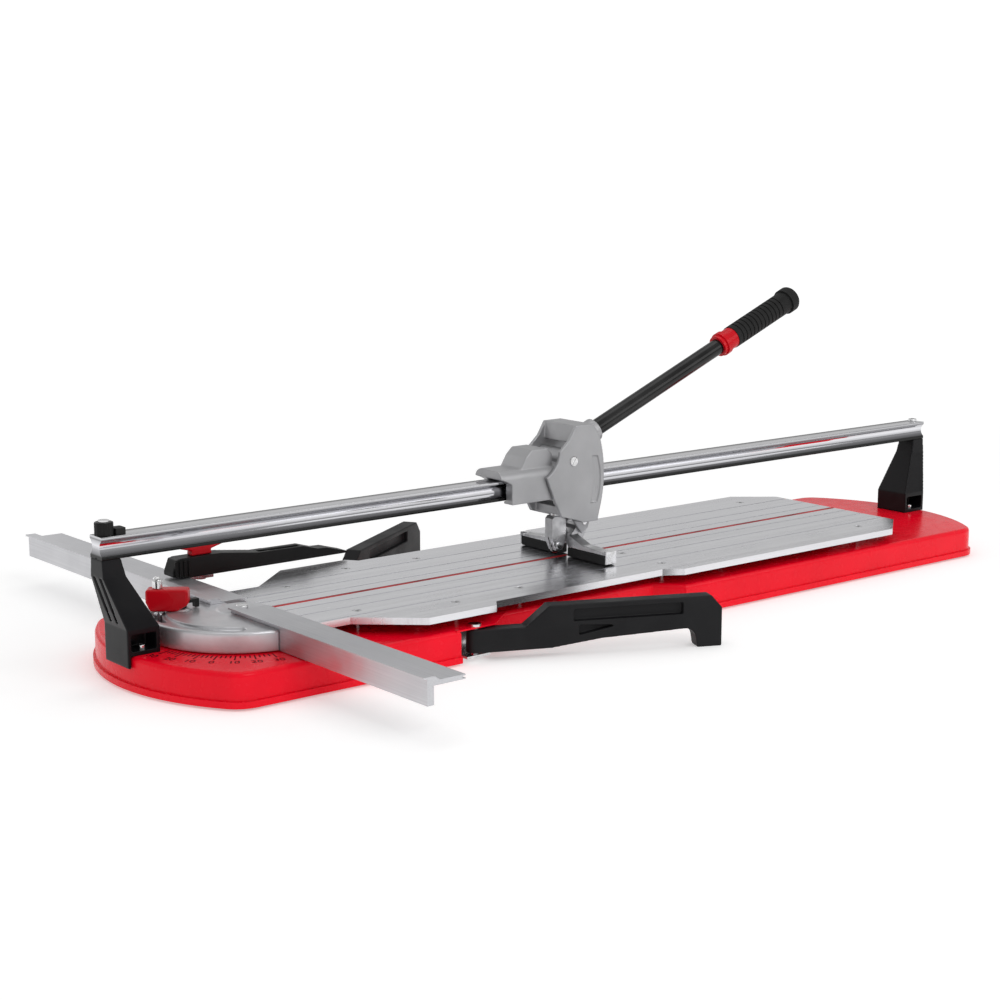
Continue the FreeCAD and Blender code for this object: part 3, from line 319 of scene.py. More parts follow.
def makeLacquer(name):
    look = lacquerLooks[name]
    paint = Paint(name)
    peel = paint.noise(lacquerShade["peel"], 2.0)
    cloud = paint.noise(lacquerShade["cloud"], 3.0)
    colour = paint.mix(paint.spread(cloud, 0.0, lacquerShade["wear"]), look["colour"], lacquerShade["worn"])
    return paint.finish(Base_Color=colour, Roughness=paint.spread(cloud, *look["roughness"]),
                        Specular_IOR_Level=lacquerShade["gloss"],
                        Normal=paint.bump(peel, lacquerShade["peelDepth"]))


gripLook = {"light": grey(0.007), "dark": grey(0.013), "cloud": 40.0, "knurl": 420.0, "knurlDepth": 0.0002,
            "roughness": (0.50, 0.66), "gloss": 0.2}


def makeGripRubber():
    look = gripLook
    paint = Paint("gripRubber")
    cloud = paint.noise(look["cloud"], 3.0)
    colour = paint.mix(paint.spread(cloud, 0.0, 1.0), look["light"], look["dark"])
    return paint.finish(Base_Color=colour, Roughness=paint.spread(cloud, *look["roughness"]),
                        Specular_IOR_Level=look["gloss"],
                        Normal=paint.bump(paint.cells(look["knurl"]), look["knurlDepth"]))


feltLook = {"dark": grey(0.05), "light": grey(0.12), "fibre": 1600.0, "fibreDepth": 0.0004, "roughness": (0.85, 1.0)}


def makeFelt():
    look = feltLook
    paint = Paint("felt")
    fibre = paint.noise(look["fibre"], 6.0)
    return paint.finish(Base_Color=paint.mix(fibre, look["dark"], look["light"]),
                        Roughness=paint.spread(fibre, *look["roughness"]),
                        Normal=paint.bump(fibre, look["fibreDepth"]))


inkLook = {"dark": (0.010, 0.001, 0.001, 1.0), "worn": (0.03, 0.001, 0.002, 1.0), "wear": 500.0,
           "roughness": (0.7, 0.9), "gloss": 0.1}


def makeMarkInk():
    look = inkLook
    paint = Paint("markInk")
    worn = paint.noise(look["wear"], 4.0)
    return paint.finish(Base_Color=paint.mix(paint.spread(worn, 0.0, 1.0), look["dark"], look["worn"]),
                        Roughness=paint.spread(worn, *look["roughness"]), Specular_IOR_Level=look["gloss"])


paints = {
    "tray_red": makeTrayRed(), "rib_red": makeLacquer("ribRed"), "table_aluminium": makeTableAluminium(),
    "bar_aluminium": makeBarAluminium(), "cast_grey": makeCast("castGrey"), "rail_chrome": makeRailChrome(),
    "post_black": makeMoulded("postBlack"), "steel_fixing": makeSteel("zincSteel"),
    "spring_steel": makeSteel("springSteel"), "channel_steel": makeGalvanised(),
    "tube_black": makeLacquer("tubeBlack"), "red_plastic": makeMoulded("redPlastic"),
    "black_plastic": makeMoulded("blackPlastic"), "arm_plastic": makeMoulded("armPlastic"),
    "black_rubber": makeMoulded("blackRubber"), "felt_wiper": makeFelt(), "carbide": makeSteel("carbide"),
}
extraPaints = {  # finishes that no slot has
    "bright_cast": makeCast("brightCast"), "satin_head": makeCast("satinHead"),
    "grip_rubber": makeGripRubber(), "mark_ink": makeMarkInk()}
nodePaint = {  # nodes whose finish differs from their slot's
    "breaker_body": extraPaints["bright_cast"], "wheel_holder": extraPaints["bright_cast"],
    "swivel_head": extraPaints["satin_head"], "handle_grip": extraPaints["grip_rubber"],
    "clamp_bolt": paints["steel_fixing"]}
print("finishes made:", len(paints) + len(extraPaints))


def paintOf(node):
    return nodePaint.get(node, paints[slotOf[node]])


for node, piece in frame["nodes"].items():
    piece.data.materials.clear()
    piece.data.materials.append(paints[slotOf[node]])


# pieces
def place(piece, body, slotName, replaced=()):
    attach(piece, body)
    if replaced:
        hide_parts(*replaced)
    return piece


def pieceFrom(name, mesh, material):
    piece = bpy.data.objects.new(name, mesh)
    bpy.context.scene.collection.objects.link(piece)
    mesh.materials.clear()
    mesh.materials.append(material)
    return piece


def smoothByAngle(mesh, degrees):
    limit = math.radians(degrees)
    shape = bmesh.new()
    shape.from_mesh(mesh)
    for face in shape.faces:
        face.smooth = True
    for edge in shape.edges:
        edge.smooth = len(edge.link_faces) == 2 and edge.calc_face_angle(0.0) < limit
    shape.to_mesh(mesh)
    shape.free()


def bakeModifiers(piece):
    bpy.context.view_layer.update()
    evaluated = piece.evaluated_get(bpy.context.evaluated_depsgraph_get())
    mesh = bpy.data.meshes.new_from_object(evaluated)
    piece.modifiers.clear()
    piece.data = mesh
    return mesh


def mergedMesh(node):
    mesh = frame["nodes"][node].data.copy()
    shape = bmesh.new()
    shape.from_mesh(mesh)
    bmesh.ops.remove_doubles(shape, verts=shape.verts, dist=0.00001)
    shape.to_mesh(mesh)
    shape.free()
    return mesh


cleanPieces = {  # node: (piece name, angle below which faces run on smoothly)
    "base_tray": ("pressedTray", 32), "handle_tube": ("handleTube", 30), "handle_collar": ("collar", 30),
    "handle_grip": ("grip", 30), "clamp_bolt": ("domeBolt", 30), "stop_knob": ("endKnob", 25),
    "rail_bolts": ("railBolts", 30), "pivot_bolt": ("swivelBolt", 30), "scoring_wheel": ("scoreWheel", 30),
    "stop_clamp_bolt": ("stopBolt", 30), "rubber_feet": ("feet", 30),
}
for node, (name, angle) in cleanPieces.items():
    mesh = mergedMesh(node)
    smoothByAngle(mesh, angle)
    place(pieceFrom(name, mesh, paintOf(node)), bodyOf[node], slotOf[node], [node])
print("clean pieces made:", len(cleanPieces))


def prism(outline, half):
    shape = bmesh.new()
    face = shape.faces.new([shape.verts.new((x * mm, -half * mm, z * mm)) for x, z in outline])
    grown = bmesh.ops.extrude_face_region(shape, geom=[face])
    bmesh.ops.translate(shape, verts=[v for v in grown["geom"] if isinstance(v, bmesh.types.BMVert)],
                        vec=(0, 2 * half * mm, 0))
    bmesh.ops.recalc_face_normals(shape, faces=shape.faces)
    mesh = bpy.data.meshes.new("prism")
    shape.to_mesh(mesh)
    shape.free()
    return mesh


castPieces = {  # node: (piece name, voxel in mm, smoothing steps)
    "carriage_body": ("castCarriage", 0.9, 6), "lever_casting": ("castFork", 0.9, 5),
    "swivel_head": ("castHead", 1.2, 4), "breaker_body": ("castBreaker", 0.7, 4),
    "near_post": ("nearPost", 1.0, 2), "far_post": ("farPost", 1.0, 2),
    "side_stop": ("sideStop", 1.0, 3), "front_arm": ("frontArm", 1.1, 3), "rear_arm": ("rearArm", 1.1, 3),
    "wheel_holder": ("wheelHolder", 0.6, 2), "angle_pointer": ("anglePointer", 0.5, 2),
    "breaker_pads": ("breakerPads", 0.8, 2),
}
castFinish = {"soften": 0.5, "keep": 0.35, "smooth": 50}  # smoothing factor, share of faces kept, angle
trimmed = {"carriage_body": -163.0}  # x where the nose ends
lowered = {"side_stop": (72.0, 0.80)}  # foot height, share of the height kept
grooved = {
    "lever_casting": {
        "rim": [(0.0, 4.0), (3.5, -8.0), (5.0, -20.0), (4.2, -34.0), (2.0, -48.0), (-2.0, -61.0)],
        "place": (-3.5, 202.0), "width": 7.5, "face": 34.6, "depth": 3.2}}


def grooveCutter(shape, side):
    x, z = shape["place"]
    right = [(x + dx, z + dz) for dx, dz in shape["rim"]]
    left = [(px - shape["width"], pz) for px, pz in reversed(right)]
    mesh = prism(right + left, shape["depth"])
    mesh.transform(Matrix.Translation((0, side * shape["face"] * mm, 0)))
    return pieceFrom("cutter", mesh, paints["cast_grey"])


def trimEnd(mesh, end):
    shape = bmesh.new()
    shape.from_mesh(mesh)
    everything = shape.verts[:] + shape.edges[:] + shape.faces[:]
    cut = bmesh.ops.bisect_plane(shape, geom=everything, plane_co=(end * mm, 0, 0), plane_no=(-1, 0, 0),
                                 clear_outer=True)
    edges = [item for item in cut["geom_cut"] if isinstance(item, bmesh.types.BMEdge)]
    bmesh.ops.holes_fill(shape, edges=edges, sides=0)
    bmesh.ops.triangulate(shape, faces=shape.faces)
    shape.to_mesh(mesh)
    shape.free()


def castPiece(node, name, voxel, steps):
    material = paintOf(node)
    piece = pieceFrom(name, mergedMesh(node), material)
    if node in trimmed:
        trimEnd(piece.data, trimmed[node])
    if node in lowered:
        foot, share = lowered[node]
        piece.data.transform(Matrix.Translation((0, 0, foot * mm)) @ Matrix.Diagonal((1, 1, share, 1))
                             @ Matrix.Translation((0, 0, -foot * mm)))
    cutters = [grooveCutter(grooved[node], side) for side in (-1, 1)] if node in grooved else []
    for cutter in cutters:
        groove = piece.modifiers.new("groove", "BOOLEAN")
        groove.object = cutter
        groove.operation = "DIFFERENCE"
    remesh = piece.modifiers.new("cast", "REMESH")
    remesh.mode = "VOXEL"
    remesh.voxel_size = voxel * mm
    remesh.use_smooth_shade = True
    soften = piece.modifiers.new("soften", "SMOOTH")
    soften.factor = castFinish["soften"]
    soften.iterations = steps
    thin = piece.modifiers.new("thin", "DECIMATE")
    thin.ratio = castFinish["keep"]
    mesh = bakeModifiers(piece)
    for cutter in cutters:
        bpy.data.objects.remove(cutter)
    smoothByAngle(mesh, castFinish["smooth"])
    mesh.materials.clear()
    mesh.materials.append(material)
    place(piece, bodyOf[node], slotOf[node], [node])
    return piece


for node, (name, voxel, steps) in castPieces.items():
    piece = castPiece(node, name, voxel, steps)
    print("cast", name, len(piece.data.polygons))


# repeated and swept pieces, grown by Geometry Nodes
class Growth(Tree):
    def __init__(self, name, inputs):
        group = bpy.data.node_groups.new(name, "GeometryNodeTree")
        super().__init__(group)
        group.interface.new_socket("Geometry", in_out="INPUT", socket_type="NodeSocketGeometry")
        for label, kind in inputs.items():
            group.interface.new_socket(label, in_out="INPUT", socket_type="NodeSocket" + kind)
        group.interface.new_socket("Geometry", in_out="OUTPUT", socket_type="NodeSocketGeometry")
        self.given = group.nodes.new("NodeGroupInput").outputs
        self.result = group.nodes.new("NodeGroupOutput").inputs[0]

    def value(self, label):
        return Term(self, self.given[label])

    def along(self, x=0.0, y=0.0, z=0.0):
        return self.add("ShaderNodeCombineXYZ", {}, {"X": x, "Y": y, "Z": z}).outputs[0]

    def moved(self, geometry, place=(0.0, 0.0, 0.0), turn=(0.0, 0.0, 0.0)):
        return self.add("GeometryNodeTransform", {}, {"Geometry": geometry, "Translation": place,
                                                      "Rotation": turn}).outputs[0]

    def join(self, *parts):
        node = self.add("GeometryNodeJoinGeometry")
        for part in parts:
            self.tree.links.new(part, node.inputs[0])
        return node.outputs[0]

    def sweep(self, path, profile):
        return self.add("GeometryNodeCurveToMesh", {}, {"Curve": path, "Profile Curve": profile,
                                                        "Fill Caps": True}).outputs[0]

    def drum(self, corners, radius, height):
        return self.add("GeometryNodeMeshCylinder", {}, {"Vertices": corners, "Radius": radius,
                                                         "Depth": height}).outputs["Mesh"]

    def scatter(self, points, instance, turn=(0.0, 0.0, 0.0), scale=(1.0, 1.0, 1.0)):
        return self.add("GeometryNodeInstanceOnPoints", {}, {"Points": points, "Instance": instance,
                                                             "Rotation": turn, "Scale": scale}).outputs[0]

    def end(self, geometry):
        whole = self.add("GeometryNodeRealizeInstances", {}, {"Geometry": geometry}).outputs[0]
        painted = self.add("GeometryNodeSetMaterial", {}, {"Geometry": whole,
                                                           "Material": self.given["Material"]}).outputs[0]
        self.tree.links.new(painted, self.result)
        return self.tree


def growRailTree():
    grow = Growth("railSweep", {"Start": "Float", "End": "Float", "Middle Height": "Float",
                                "Edge Radius": "Float", "Material": "Material"})
    line = grow.add("GeometryNodeCurvePrimitiveLine", {}, {
        "Start": grow.along(grow.value("Start"), 0.0, grow.value("Middle Height")),
        "End": grow.along(grow.value("End"), 0.0, grow.value("Middle Height"))}).outputs[0]
    soft = grow.add("GeometryNodeFilletCurve", {"mode": "POLY"}, {
        "Curve": grow.given["Geometry"], "Radius": grow.value("Edge Radius"), "Count": 3,
        "Limit Radius": True}).outputs[0]
    return grow.end(grow.sweep(line, soft))


wireDetail = {"turnSteps": 24, "corners": 10}


def growSpringTree():
    grow = Growth("coilSprings", {"Turns": "Float", "Coil Radius": "Float", "Wire Radius": "Float",
                                  "Height": "Float", "Material": "Material"})
    coil = grow.add("GeometryNodeCurveSpiral", {}, {
        "Resolution": wireDetail["turnSteps"], "Rotations": grow.value("Turns"), "Start Radius": grow.value("Coil Radius"),
        "End Radius": grow.value("Coil Radius"), "Height": grow.value("Height")}).outputs[0]
    wire = grow.add("GeometryNodeCurvePrimitiveCircle", {}, {
        "Resolution": wireDetail["corners"], "Radius": grow.value("Wire Radius")}).outputs[0]
    return grow.end(grow.scatter(grow.given["Geometry"], grow.sweep(coil, wire)))


screwForm = {"wall": 0.75, "top": 0.82, "corners": 40, "shankCorners": 24}  # wall and top: shares of the head


def growScrewTree():
    grow = Growth("socketScrews", {"Head Radius": "Float", "Head Height": "Float", "Shank Radius": "Float",
                                   "Shank Length": "Float", "Recess Corners": "Int", "Recess Radius": "Float",
                                   "Turn": "Vector", "Material": "Material"})
    form = screwForm
    radius, height, length = grow.value("Head Radius"), grow.value("Head Height"), grow.value("Shank Length")
    wall = grow.moved(grow.drum(form["corners"], radius, height * form["wall"]),
                      grow.along(0.0, 0.0, height * (form["wall"] / 2)))
    crown = grow.add("GeometryNodeMeshCone", {}, {
        "Vertices": form["corners"], "Radius Bottom": radius, "Radius Top": radius * form["top"],
        "Depth": height * (1.0 - form["wall"])}).outputs["Mesh"]
    head = grow.join(wall, grow.moved(crown, grow.along(0.0, 0.0, height * form["wall"])))
    recess = grow.moved(grow.drum(grow.given["Recess Corners"], grow.value("Recess Radius"), height),
                        grow.along(0.0, 0.0, height))
    hollow = grow.add("GeometryNodeMeshBoolean", {"operation": "DIFFERENCE"},
                      {"Mesh 1": head, "Mesh 2": recess}).outputs["Mesh"]
    shank = grow.moved(grow.drum(form["shankCorners"], grow.value("Shank Radius"), length),
                       grow.along(0.0, 0.0, length * -0.5))
    return grow.end(grow.scatter(grow.given["Geometry"], grow.join(hollow, shank), grow.given["Turn"]))


shortTick = 0.45  # share of a long tick's length that a short one lacks


def growTickTree():
    grow = Growth("angleTicks", {"Count": "Int", "First": "Float", "Step": "Float", "Radius": "Float",
                                 "Length": "Float", "Width": "Float", "Thickness": "Float",
                                 "Long Every": "Float", "Material": "Material"})
    row = grow.add("GeometryNodeMeshLine", {}, {"Count": grow.given["Count"]}).outputs[0]
    number = Term(grow, grow.add("GeometryNodeInputIndex").outputs[0])
    angle = grow.value("First") + number * grow.value("Step")
    spot = grow.along(grow.value("Radius") * angle.combine("COSINE", angle),
                      grow.value("Radius") * angle.combine("SINE", angle), 0.0)
    ring = grow.add("GeometryNodeSetPosition", {}, {"Geometry": row, "Position": spot}).outputs[0]
    size = grow.along(grow.value("Length"), grow.value("Width"), grow.value("Thickness"))
    bar = grow.add("GeometryNodeMeshCube", {}, {"Size": size}).outputs["Mesh"]
    bar = grow.moved(bar, grow.along(grow.value("Length") * 0.5, 0.0, 0.0))
    short = number.combine("FLOORED_MODULO", number, grow.value("Long Every")) > 0.5
    stretch = grow.along(1.0 - short * shortTick, 1.0, 1.0)
    return grow.end(grow.scatter(ring, bar, grow.along(0.0, 0.0, angle), stretch))


def growPiece(name, data, tree, values):
    piece = bpy.data.objects.new(name, data)
    bpy.context.scene.collection.objects.link(piece)
    live = piece.modifiers.new("growth", "NODES")
    live.node_group = tree
    for item in tree.interface.items_tree:
        if item.in_out == "INPUT" and item.name in values:
            live[item.identifier] = values[item.name]
    bpy.context.view_layer.update()
    evaluated = piece.evaluated_get(bpy.context.evaluated_depsgraph_get())
    mesh = bpy.data.meshes.new_from_object(evaluated)
    bpy.data.objects.remove(piece)
    piece = pieceFrom(name, mesh, values["Material"])
    bpy.context.view_layer.update()
    return piece


def pointsMesh(points):
    mesh = bpy.data.meshes.new("points")
    mesh.from_pydata([Vector(point) * mm for point in points], [], [])
    return mesh


def profileCurve(points):
    curve = bpy.data.curves.new("profile", "CURVE")
    curve.dimensions = "2D"
    spline = curve.splines.new("POLY")
    spline.points.add(len(points) - 1)
    spline.use_cyclic_u = True
    for point, (across, up) in zip(spline.points, points):
        point.co = (across * mm, up * mm, 0.0, 1.0)
    return curve


def arcPoints(first, middle, last, count):
    (ax, ay), (bx, by), (cx, cy) = first, middle, last
    a, b, c = ax * ax + ay * ay, bx * bx + by * by, cx * cx + cy * cy
    double = 2.0 * (ax * (by - cy) + bx * (cy - ay) + cx * (ay - by))
    ux = (a * (by - cy) + b * (cy - ay) + c * (ay - by)) / double
    uy = (a * (cx - bx) + b * (ax - cx) + c * (bx - ax)) / double
    radius = math.hypot(ax - ux, ay - uy)
    start, end = math.atan2(ay - uy, ax - ux), math.atan2(cy - uy, cx - ux)
    turn = (end - start + math.pi) % (2 * math.pi) - math.pi
    angles = [start + turn * i / count for i in range(count + 1)]
    return [(ux + radius * math.cos(angle), uy + radius * math.sin(angle)) for angle in angles]


railShape = {"start": -733.5, "end": 716.5, "low": 157.4, "high": 184.0, "half": 14.0, "waist": 9.0,
             "flange": 4.0, "grooveHalf": 1.5, "grooveDepth": 1.5, "edge": 0.7, "sideSteps": 14, "smooth": 35}


def makeRail():
    shape = railShape
    middle = (shape["low"] + shape["high"]) / 2
    low, high = shape["low"] - middle, shape["high"] - middle
    right = arcPoints((shape["half"], low + shape["flange"]), (shape["waist"], 0.0),
                      (shape["half"], high - shape["flange"]), shape["sideSteps"])
    outline = [(shape["half"], low)] + right + [(shape["half"], high)]
    outline += [(shape["grooveHalf"], high), (shape["grooveHalf"], high - shape["grooveDepth"])]
    mirrored = [(-x, y) for x, y in reversed(outline)]
    values = {"Start": shape["start"] * mm, "End": shape["end"] * mm, "Middle Height": middle * mm,
              "Edge Radius": shape["edge"] * mm, "Material": paints["rail_chrome"]}
    rail = growPiece("chromeRail", profileCurve(outline + mirrored), growRailTree(), values)
    smoothByAngle(rail.data, shape["smooth"])
    place(rail, "base", "rail_chrome", ["guide_rail"])
    print("rail", len(rail.data.polygons), [round(size / mm, 1) for size in rail.dimensions])


springShape = {
    "places": [(-470.5, 45.0), (-360.5, 105.0), (-120.0, 80.0), (150.0, 120.0), (350.0, 78.0), (469.5, 90.0)],
    "low": 44.0, "high": 62.5, "radius": 7.0, "wire": 0.95, "turns": 4.5, "keep": 0.865, "smooth": 60}
springRows = [(-1, "front_springs", "frontCoils", "front_table_spring"),
              (1, "rear_springs", "rearCoils", "rear_table_spring")]


def makeSprings():
    shape = springShape
    tree = growSpringTree()
    values = {"Turns": shape["turns"], "Coil Radius": shape["radius"] * mm, "Wire Radius": shape["wire"] * mm,
              "Height": (shape["high"] - shape["low"] - 2 * shape["wire"]) * mm, "Material": paints["spring_steel"]}
    for side, node, name, joint in springRows:
        points = [(x, side * y, shape["low"] + shape["wire"]) for x, y in shape["places"]]
        coils = growPiece(name, pointsMesh(points), tree, values)
        smoothByAngle(coils.data, shape["smooth"])
        place(coils, bodyOf[node], "spring_steel", [node])
        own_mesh(coils)
        print("springs", name, bodyOf[node], len(coils.data.polygons))


screwShape = {  # head and shank: radius and length; recess: corners and radius
    "z": 63.3, "head": (5.5, 2.0), "shank": (3.0, 19.3), "recess": (6, 2.7), "turn": (0.0, 0.0, 0.0), "smooth": 40,
    "places": [(-430.5, 80.0), (-310.5, 120.0), (-200.5, 110.0), (40.0, 120.0), (40.0, 40.0), (439.5, 120.0)]}


def makeScrews():
    shape = screwShape
    points = [(x, side * y, shape["z"]) for x, y in shape["places"] for side in (-1, 1)]
    values = {"Head Radius": shape["head"][0] * mm, "Head Height": shape["head"][1] * mm,
              "Shank Radius": shape["shank"][0] * mm, "Shank Length": shape["shank"][1] * mm,
              "Recess Corners": shape["recess"][0], "Recess Radius": shape["recess"][1] * mm,
              "Turn": shape["turn"], "Material": paints["steel_fixing"]}
    screws = growPiece("plateScrews", pointsMesh(points), growScrewTree(), values)
    smoothByAngle(screws.data, shape["smooth"])
    place(screws, bodyOf["plate_screws"], "steel_fixing", ["plate_screws"])
    print("screws", len(screws.data.polygons))


markShape = {"pivot": (-543.5, 0.0), "deck": 44.0, "inner": 121.0, "length": 18.0, "width": 1.5, "thickness": 0.16,
             "first": -165.0, "step": 2.5, "count": 25, "longEvery": 4, "numberRadius": 149.0, "numberSize": 14.0,
             "numbers": (30, 20, 10, 0, 10, 20, 30)}


def makeNumber(number, angle, origin):
    shape = markShape
    text = bpy.data.curves.new("number", "FONT")
    text.body = str(number)
    text.align_x = "CENTER"
    text.align_y = "CENTER"
    text.size = shape["numberSize"] * mm
    text.extrude = shape["thickness"] / 2 * mm
    spot = origin + Vector((math.cos(angle), math.sin(angle), 0)) * shape["numberRadius"] * mm
    label = bpy.data.objects.new("number", text)
    bpy.context.scene.collection.objects.link(label)
    bpy.context.view_layer.update()
    mesh = bpy.data.meshes.new_from_object(label.evaluated_get(bpy.context.evaluated_depsgraph_get()))
    bpy.data.objects.remove(label)
    mesh.transform(Matrix.Translation(spot) @ Matrix.Rotation(angle + math.pi / 2, 4, "Z"))
    return pieceFrom("number", mesh, extraPaints["mark_ink"])


def makeMarks():
    shape = markShape
    tree = growTickTree()
    origin = Vector((shape["pivot"][0], shape["pivot"][1], shape["deck"] + shape["thickness"] / 2)) * mm
    parts = []
    for side in (-1, 1):
        values = {"Count": shape["count"], "First": math.radians(-side * shape["first"]),
                  "Step": math.radians(-side * shape["step"]), "Radius": shape["inner"] * mm,
                  "Length": shape["length"] * mm, "Width": shape["width"] * mm,
                  "Thickness": shape["thickness"] * mm, "Long Every": float(shape["longEvery"]),
                  "Material": extraPaints["mark_ink"]}
        ticks = growPiece("ticks", bpy.data.meshes.new("none"), tree, values)
        ticks.data.transform(Matrix.Translation(origin))
        parts.append(ticks)
        for i, number in enumerate(shape["numbers"]):
            angle = math.radians(-side * (shape["first"] + i * shape["step"] * shape["longEvery"]))
            parts.append(makeNumber(number, angle, origin))
    marks = joinPieces("angleMarks", parts, extraPaints["mark_ink"])
    place(marks, "base", "tray_red")
    print("marks", len(marks.data.polygons))


def joinPieces(name, parts, material):
    shape = bmesh.new()
    for part in parts:
        shape.from_mesh(part.data)
    mesh = bpy.data.meshes.new(name)
    shape.to_mesh(mesh)
    shape.free()
    for part in parts:
        bpy.data.objects.remove(part)
    return pieceFrom(name, mesh, material)


knobShapes = {  # node: heights and widths of the outline, half its thickness, rounding
    "stop_clamp_knob": {
        "name": "stopKnob", "body": "side_stop_knob", "centre": (-492.0, 189.0), "heading": 0.0,
        "half": 7.0, "edge": 1.8, "rounds": 3, "smooth": 40,
        "outline": [(-15, 98.6), (-14, 105), (-33, 110), (-34, 115.5), (0, 113), (34, 115.5), (33, 110),
                    (14, 105), (15, 98.6)]},
    "clamp_knob": {
        "name": "clampKnob", "body": "clamp_lever", "centre": (-627.37, 54.46), "heading": -38.0,
        "half": 11.5, "edge": 3.2, "rounds": 4, "smooth": 45,
        "outline": [(-13.5, 97.5), (-13.5, 82.0), (-8.0, 71.0), (24.0, 71.0), (37.5, 79.0), (37.5, 97.5)]},
}


def makeKnob(node):
    shape = knobShapes[node]
    knob = pieceFrom(shape["name"], prism(shape["outline"], shape["half"]), paints["red_plastic"])
    soft = knob.modifiers.new("round", "BEVEL")
    soft.width = shape["edge"] * mm
    soft.segments = shape["rounds"]
    mesh = bakeModifiers(knob)
    mesh.transform(Matrix.Translation(Vector((*shape["centre"], 0)) * mm)
                   @ Matrix.Rotation(math.radians(shape["heading"]), 4, "Z"))
    smoothByAngle(mesh, shape["smooth"])
    place(knob, shape["body"], "red_plastic", [node])


ribShape = {"places": [-534.0, -527.5, -521.0, -514.5], "y": 175.6, "width": 2.6, "depth": 1.8,
            "low": 75.0, "high": 95.0}


def growRibTree():
    grow = Growth("gripRibs", {"Width": "Float", "Depth": "Float", "Height": "Float", "Material": "Material"})
    size = grow.along(grow.value("Width"), grow.value("Depth"), grow.value("Height"))
    bar = grow.add("GeometryNodeMeshCube", {}, {"Size": size}).outputs["Mesh"]
    return grow.end(grow.scatter(grow.given["Geometry"], bar))


def makeRibs():
    shape = ribShape
    points = [(x, shape["y"] + shape["depth"] / 2, (shape["low"] + shape["high"]) / 2) for x in shape["places"]]
    values = {"Width": shape["width"] * mm, "Depth": shape["depth"] * mm,
              "Height": (shape["high"] - shape["low"]) * mm, "Material": paints["black_plastic"]}
    ribs = growPiece("stopRibs", pointsMesh(points), growRibTree(), values)
    place(ribs, "side_stop_slide", "black_plastic")


axleShape = {"x": -43.5, "z": 202.0, "seat": 34.6, "shank": 5.9, "head": 6.6, "thickness": 1.0, "slot": 1.7,
             "taper": 0.5, "corners": 48, "slotTurn": 35, "smooth": 30}


def makeAxle():
    shape = axleShape
    whole = bmesh.new()
    bmesh.ops.create_cone(whole, cap_ends=True, segments=shape["corners"], radius1=shape["shank"] * mm,
                          radius2=shape["shank"] * mm, depth=2 * shape["seat"] * mm)
    for side in (-1, 1):
        for half in (-1, 1):
            head = bmesh.ops.create_cone(
                whole, cap_ends=True, segments=shape["corners"], radius1=shape["head"] * mm,
                radius2=(shape["head"] - shape["taper"]) * mm, depth=shape["thickness"] * mm)
            verts = head["verts"]
            if side < 0:
                bmesh.ops.rotate(whole, verts=verts, matrix=Matrix.Rotation(math.pi, 3, "X"))
            bmesh.ops.translate(whole, verts=verts, vec=(0, 0, side * (shape["seat"] + shape["thickness"] / 2) * mm))
            faces = {face for vert in verts for face in vert.link_faces}
            edges = {edge for face in faces for edge in face.edges}
            cut = bmesh.ops.bisect_plane(whole, geom=list(verts) + list(edges) + list(faces),
                                         plane_co=(half * shape["slot"] / 2 * mm, 0, 0), plane_no=(-half, 0, 0),
                                         clear_outer=True)
            rim = [item for item in cut["geom_cut"] if isinstance(item, bmesh.types.BMEdge)]
            bmesh.ops.holes_fill(whole, edges=rim, sides=0)
    bmesh.ops.recalc_face_normals(whole, faces=whole.faces)
    mesh = bpy.data.meshes.new("axle")
    whole.to_mesh(mesh)
    whole.free()
    mesh.transform(Matrix.Translation(Vector((shape["x"], 0, shape["z"])) * mm)
                   @ Matrix.Rotation(math.radians(shape["slotTurn"]), 4, "Y") @ Matrix.Rotation(math.pi / 2, 4, "X"))
    smoothByAngle(mesh, shape["smooth"])
    place(pieceFrom("leverAxle", mesh, paints["steel_fixing"]), "carriage", "steel_fixing", ["lever_pin"])


makeRail()
makeSprings()
makeAxle()
makeKnob("stop_clamp_knob")
makeRibs()
makeScrews()
makeMarks()
makeKnob("clamp_knob")


# stage, light and camera
view = {"place": (-1.7033, -1.9334, 0.6237), "yaw": 38.90, "pitch": 10.66, "lens": 68.47, "sensor": 36.0,
        "reach": 200.0}
floorLook = {"half": 60.0, "tone": 0.80, "cloud": 0.01, "cloudScale": 0.6, "roughness": 0.9,
             "glow": 0.36, "farGlow": 1.05, "fadeFrom": 0.9, "fadeTo": 2.2}
skyLook = {"strength": 0.75, "seen": 1.1,
           "stops": [(0.0, grey(0.9)), (0.47, grey(0.80)), (0.50, grey(0.30)), (0.53, grey(0.40)),
                     (0.57, grey(0.82)), (0.64, grey(0.88)), (0.75, grey(0.70)), (1.0, grey(0.85))]}
lamps = {  # name: place, size, power
    "keyLight": ((-0.2, -2.6, 2.2), (1.8, 1.4), 24.0), "fillLight": ((1.8, -2.0, 1.4), (1.6, 1.2), 8.0),
    "topLight": ((0.0, 0.3, 2.6), (2.6, 1.2), 8.0), "rimLight": ((-0.6, 2.6, 1.2), (2.4, 0.8), 5.0)}
lampAim = (0, 0, 0.1)


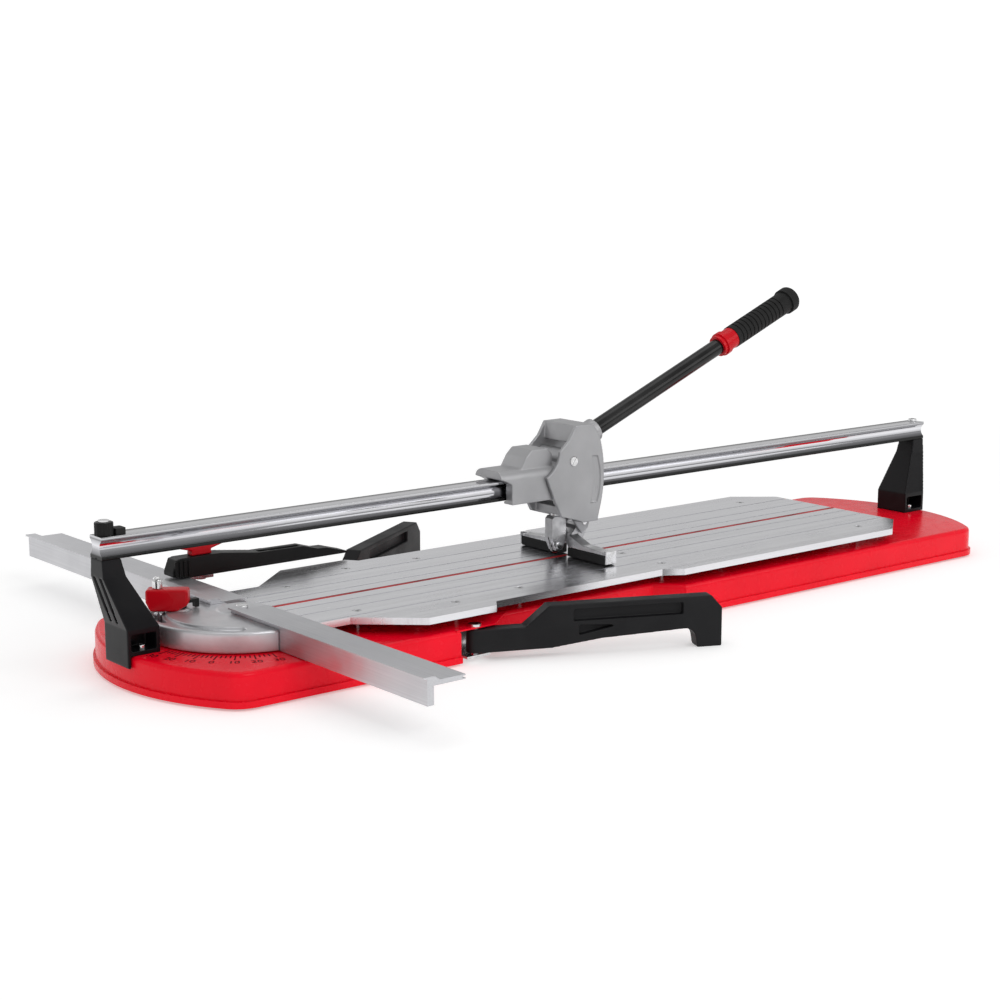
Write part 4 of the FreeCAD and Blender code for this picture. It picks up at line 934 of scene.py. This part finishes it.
def makeFloor():
    look = floorLook
    half = look["half"]
    mesh = bpy.data.meshes.new("floor")
    mesh.from_pydata([(-half, -half, 0), (half, -half, 0), (half, half, 0), (-half, half, 0)], [], [(0, 1, 2, 3)])
    paint = Paint("floorPale")
    tone = paint.noise(look["cloudScale"], 2.0)
    far = paint.add("ShaderNodeVectorMath", {"operation": "LENGTH"}, {0: paint.place}).outputs["Value"]
    fade = paint.spread(Term(paint, far), 0.0, 1.0, look["fadeFrom"], look["fadeTo"])
    near = paint.mix(paint.spread(tone, 0.0, 1.0), grey(look["tone"]), grey(look["tone"] - look["cloud"]))
    colour = paint.mix(fade, near, grey(0.0))
    glow = paint.mix(fade, grey(look["glow"]), grey(look["farGlow"]))
    material = paint.finish(Base_Color=colour, Roughness=look["roughness"], Emission_Color=glow,
                            Emission_Strength=1.0, Specular_IOR_Level=0.0)
    pieceFrom("floor", mesh, material)


def makeWorld():
    look = skyLook
    world = bpy.data.worlds.new("studio")
    world.use_nodes = True
    bpy.context.scene.world = world
    tree = Tree(world.node_tree)
    background = world.node_tree.nodes["Background"]
    direction = tree.add("ShaderNodeTexCoord").outputs["Generated"]
    height = tree.add("ShaderNodeSeparateXYZ", {}, {"Vector": direction}).outputs["Z"]
    lifted = Term(tree, height) * 0.5 + 0.5
    ramp = tree.add("ShaderNodeValToRGB", {"stops": look["stops"]}, {"Fac": lifted}).outputs["Color"]
    seen = tree.add("ShaderNodeLightPath").outputs["Is Camera Ray"]
    tree.feed(background.inputs["Color"], tree.mix(seen, ramp, grey(look["seen"] / look["strength"])))
    tree.feed(background.inputs["Strength"], look["strength"])


def makeLight(name, at, size, power):
    light = bpy.data.lights.new(name, "AREA")
    light.shape = "RECTANGLE"
    light.size = size[0]
    light.size_y = size[1]
    light.energy = power
    lamp = bpy.data.objects.new(name, light)
    lamp.location = at
    lamp.rotation_euler = (Vector(lampAim) - Vector(at)).to_track_quat("-Z", "Y").to_euler()
    bpy.context.scene.collection.objects.link(lamp)


def makeCamera():
    camera = bpy.data.cameras.new("camera")
    camera.lens = view["lens"]
    camera.sensor_width = view["sensor"]
    camera.clip_end = view["reach"]
    eye = bpy.data.objects.new("camera", camera)
    eye.location = view["place"]
    eye.rotation_euler = (math.radians(90.0 - view["pitch"]), 0.0, -math.radians(view["yaw"]))
    bpy.context.scene.collection.objects.link(eye)
    bpy.context.scene.camera = eye


makeFloor()
makeWorld()
for name, (at, size, power) in lamps.items():
    makeLight(name, at, size, power)
makeCamera()
bpy.context.scene.view_settings.view_transform = "Standard"
print("stage made")
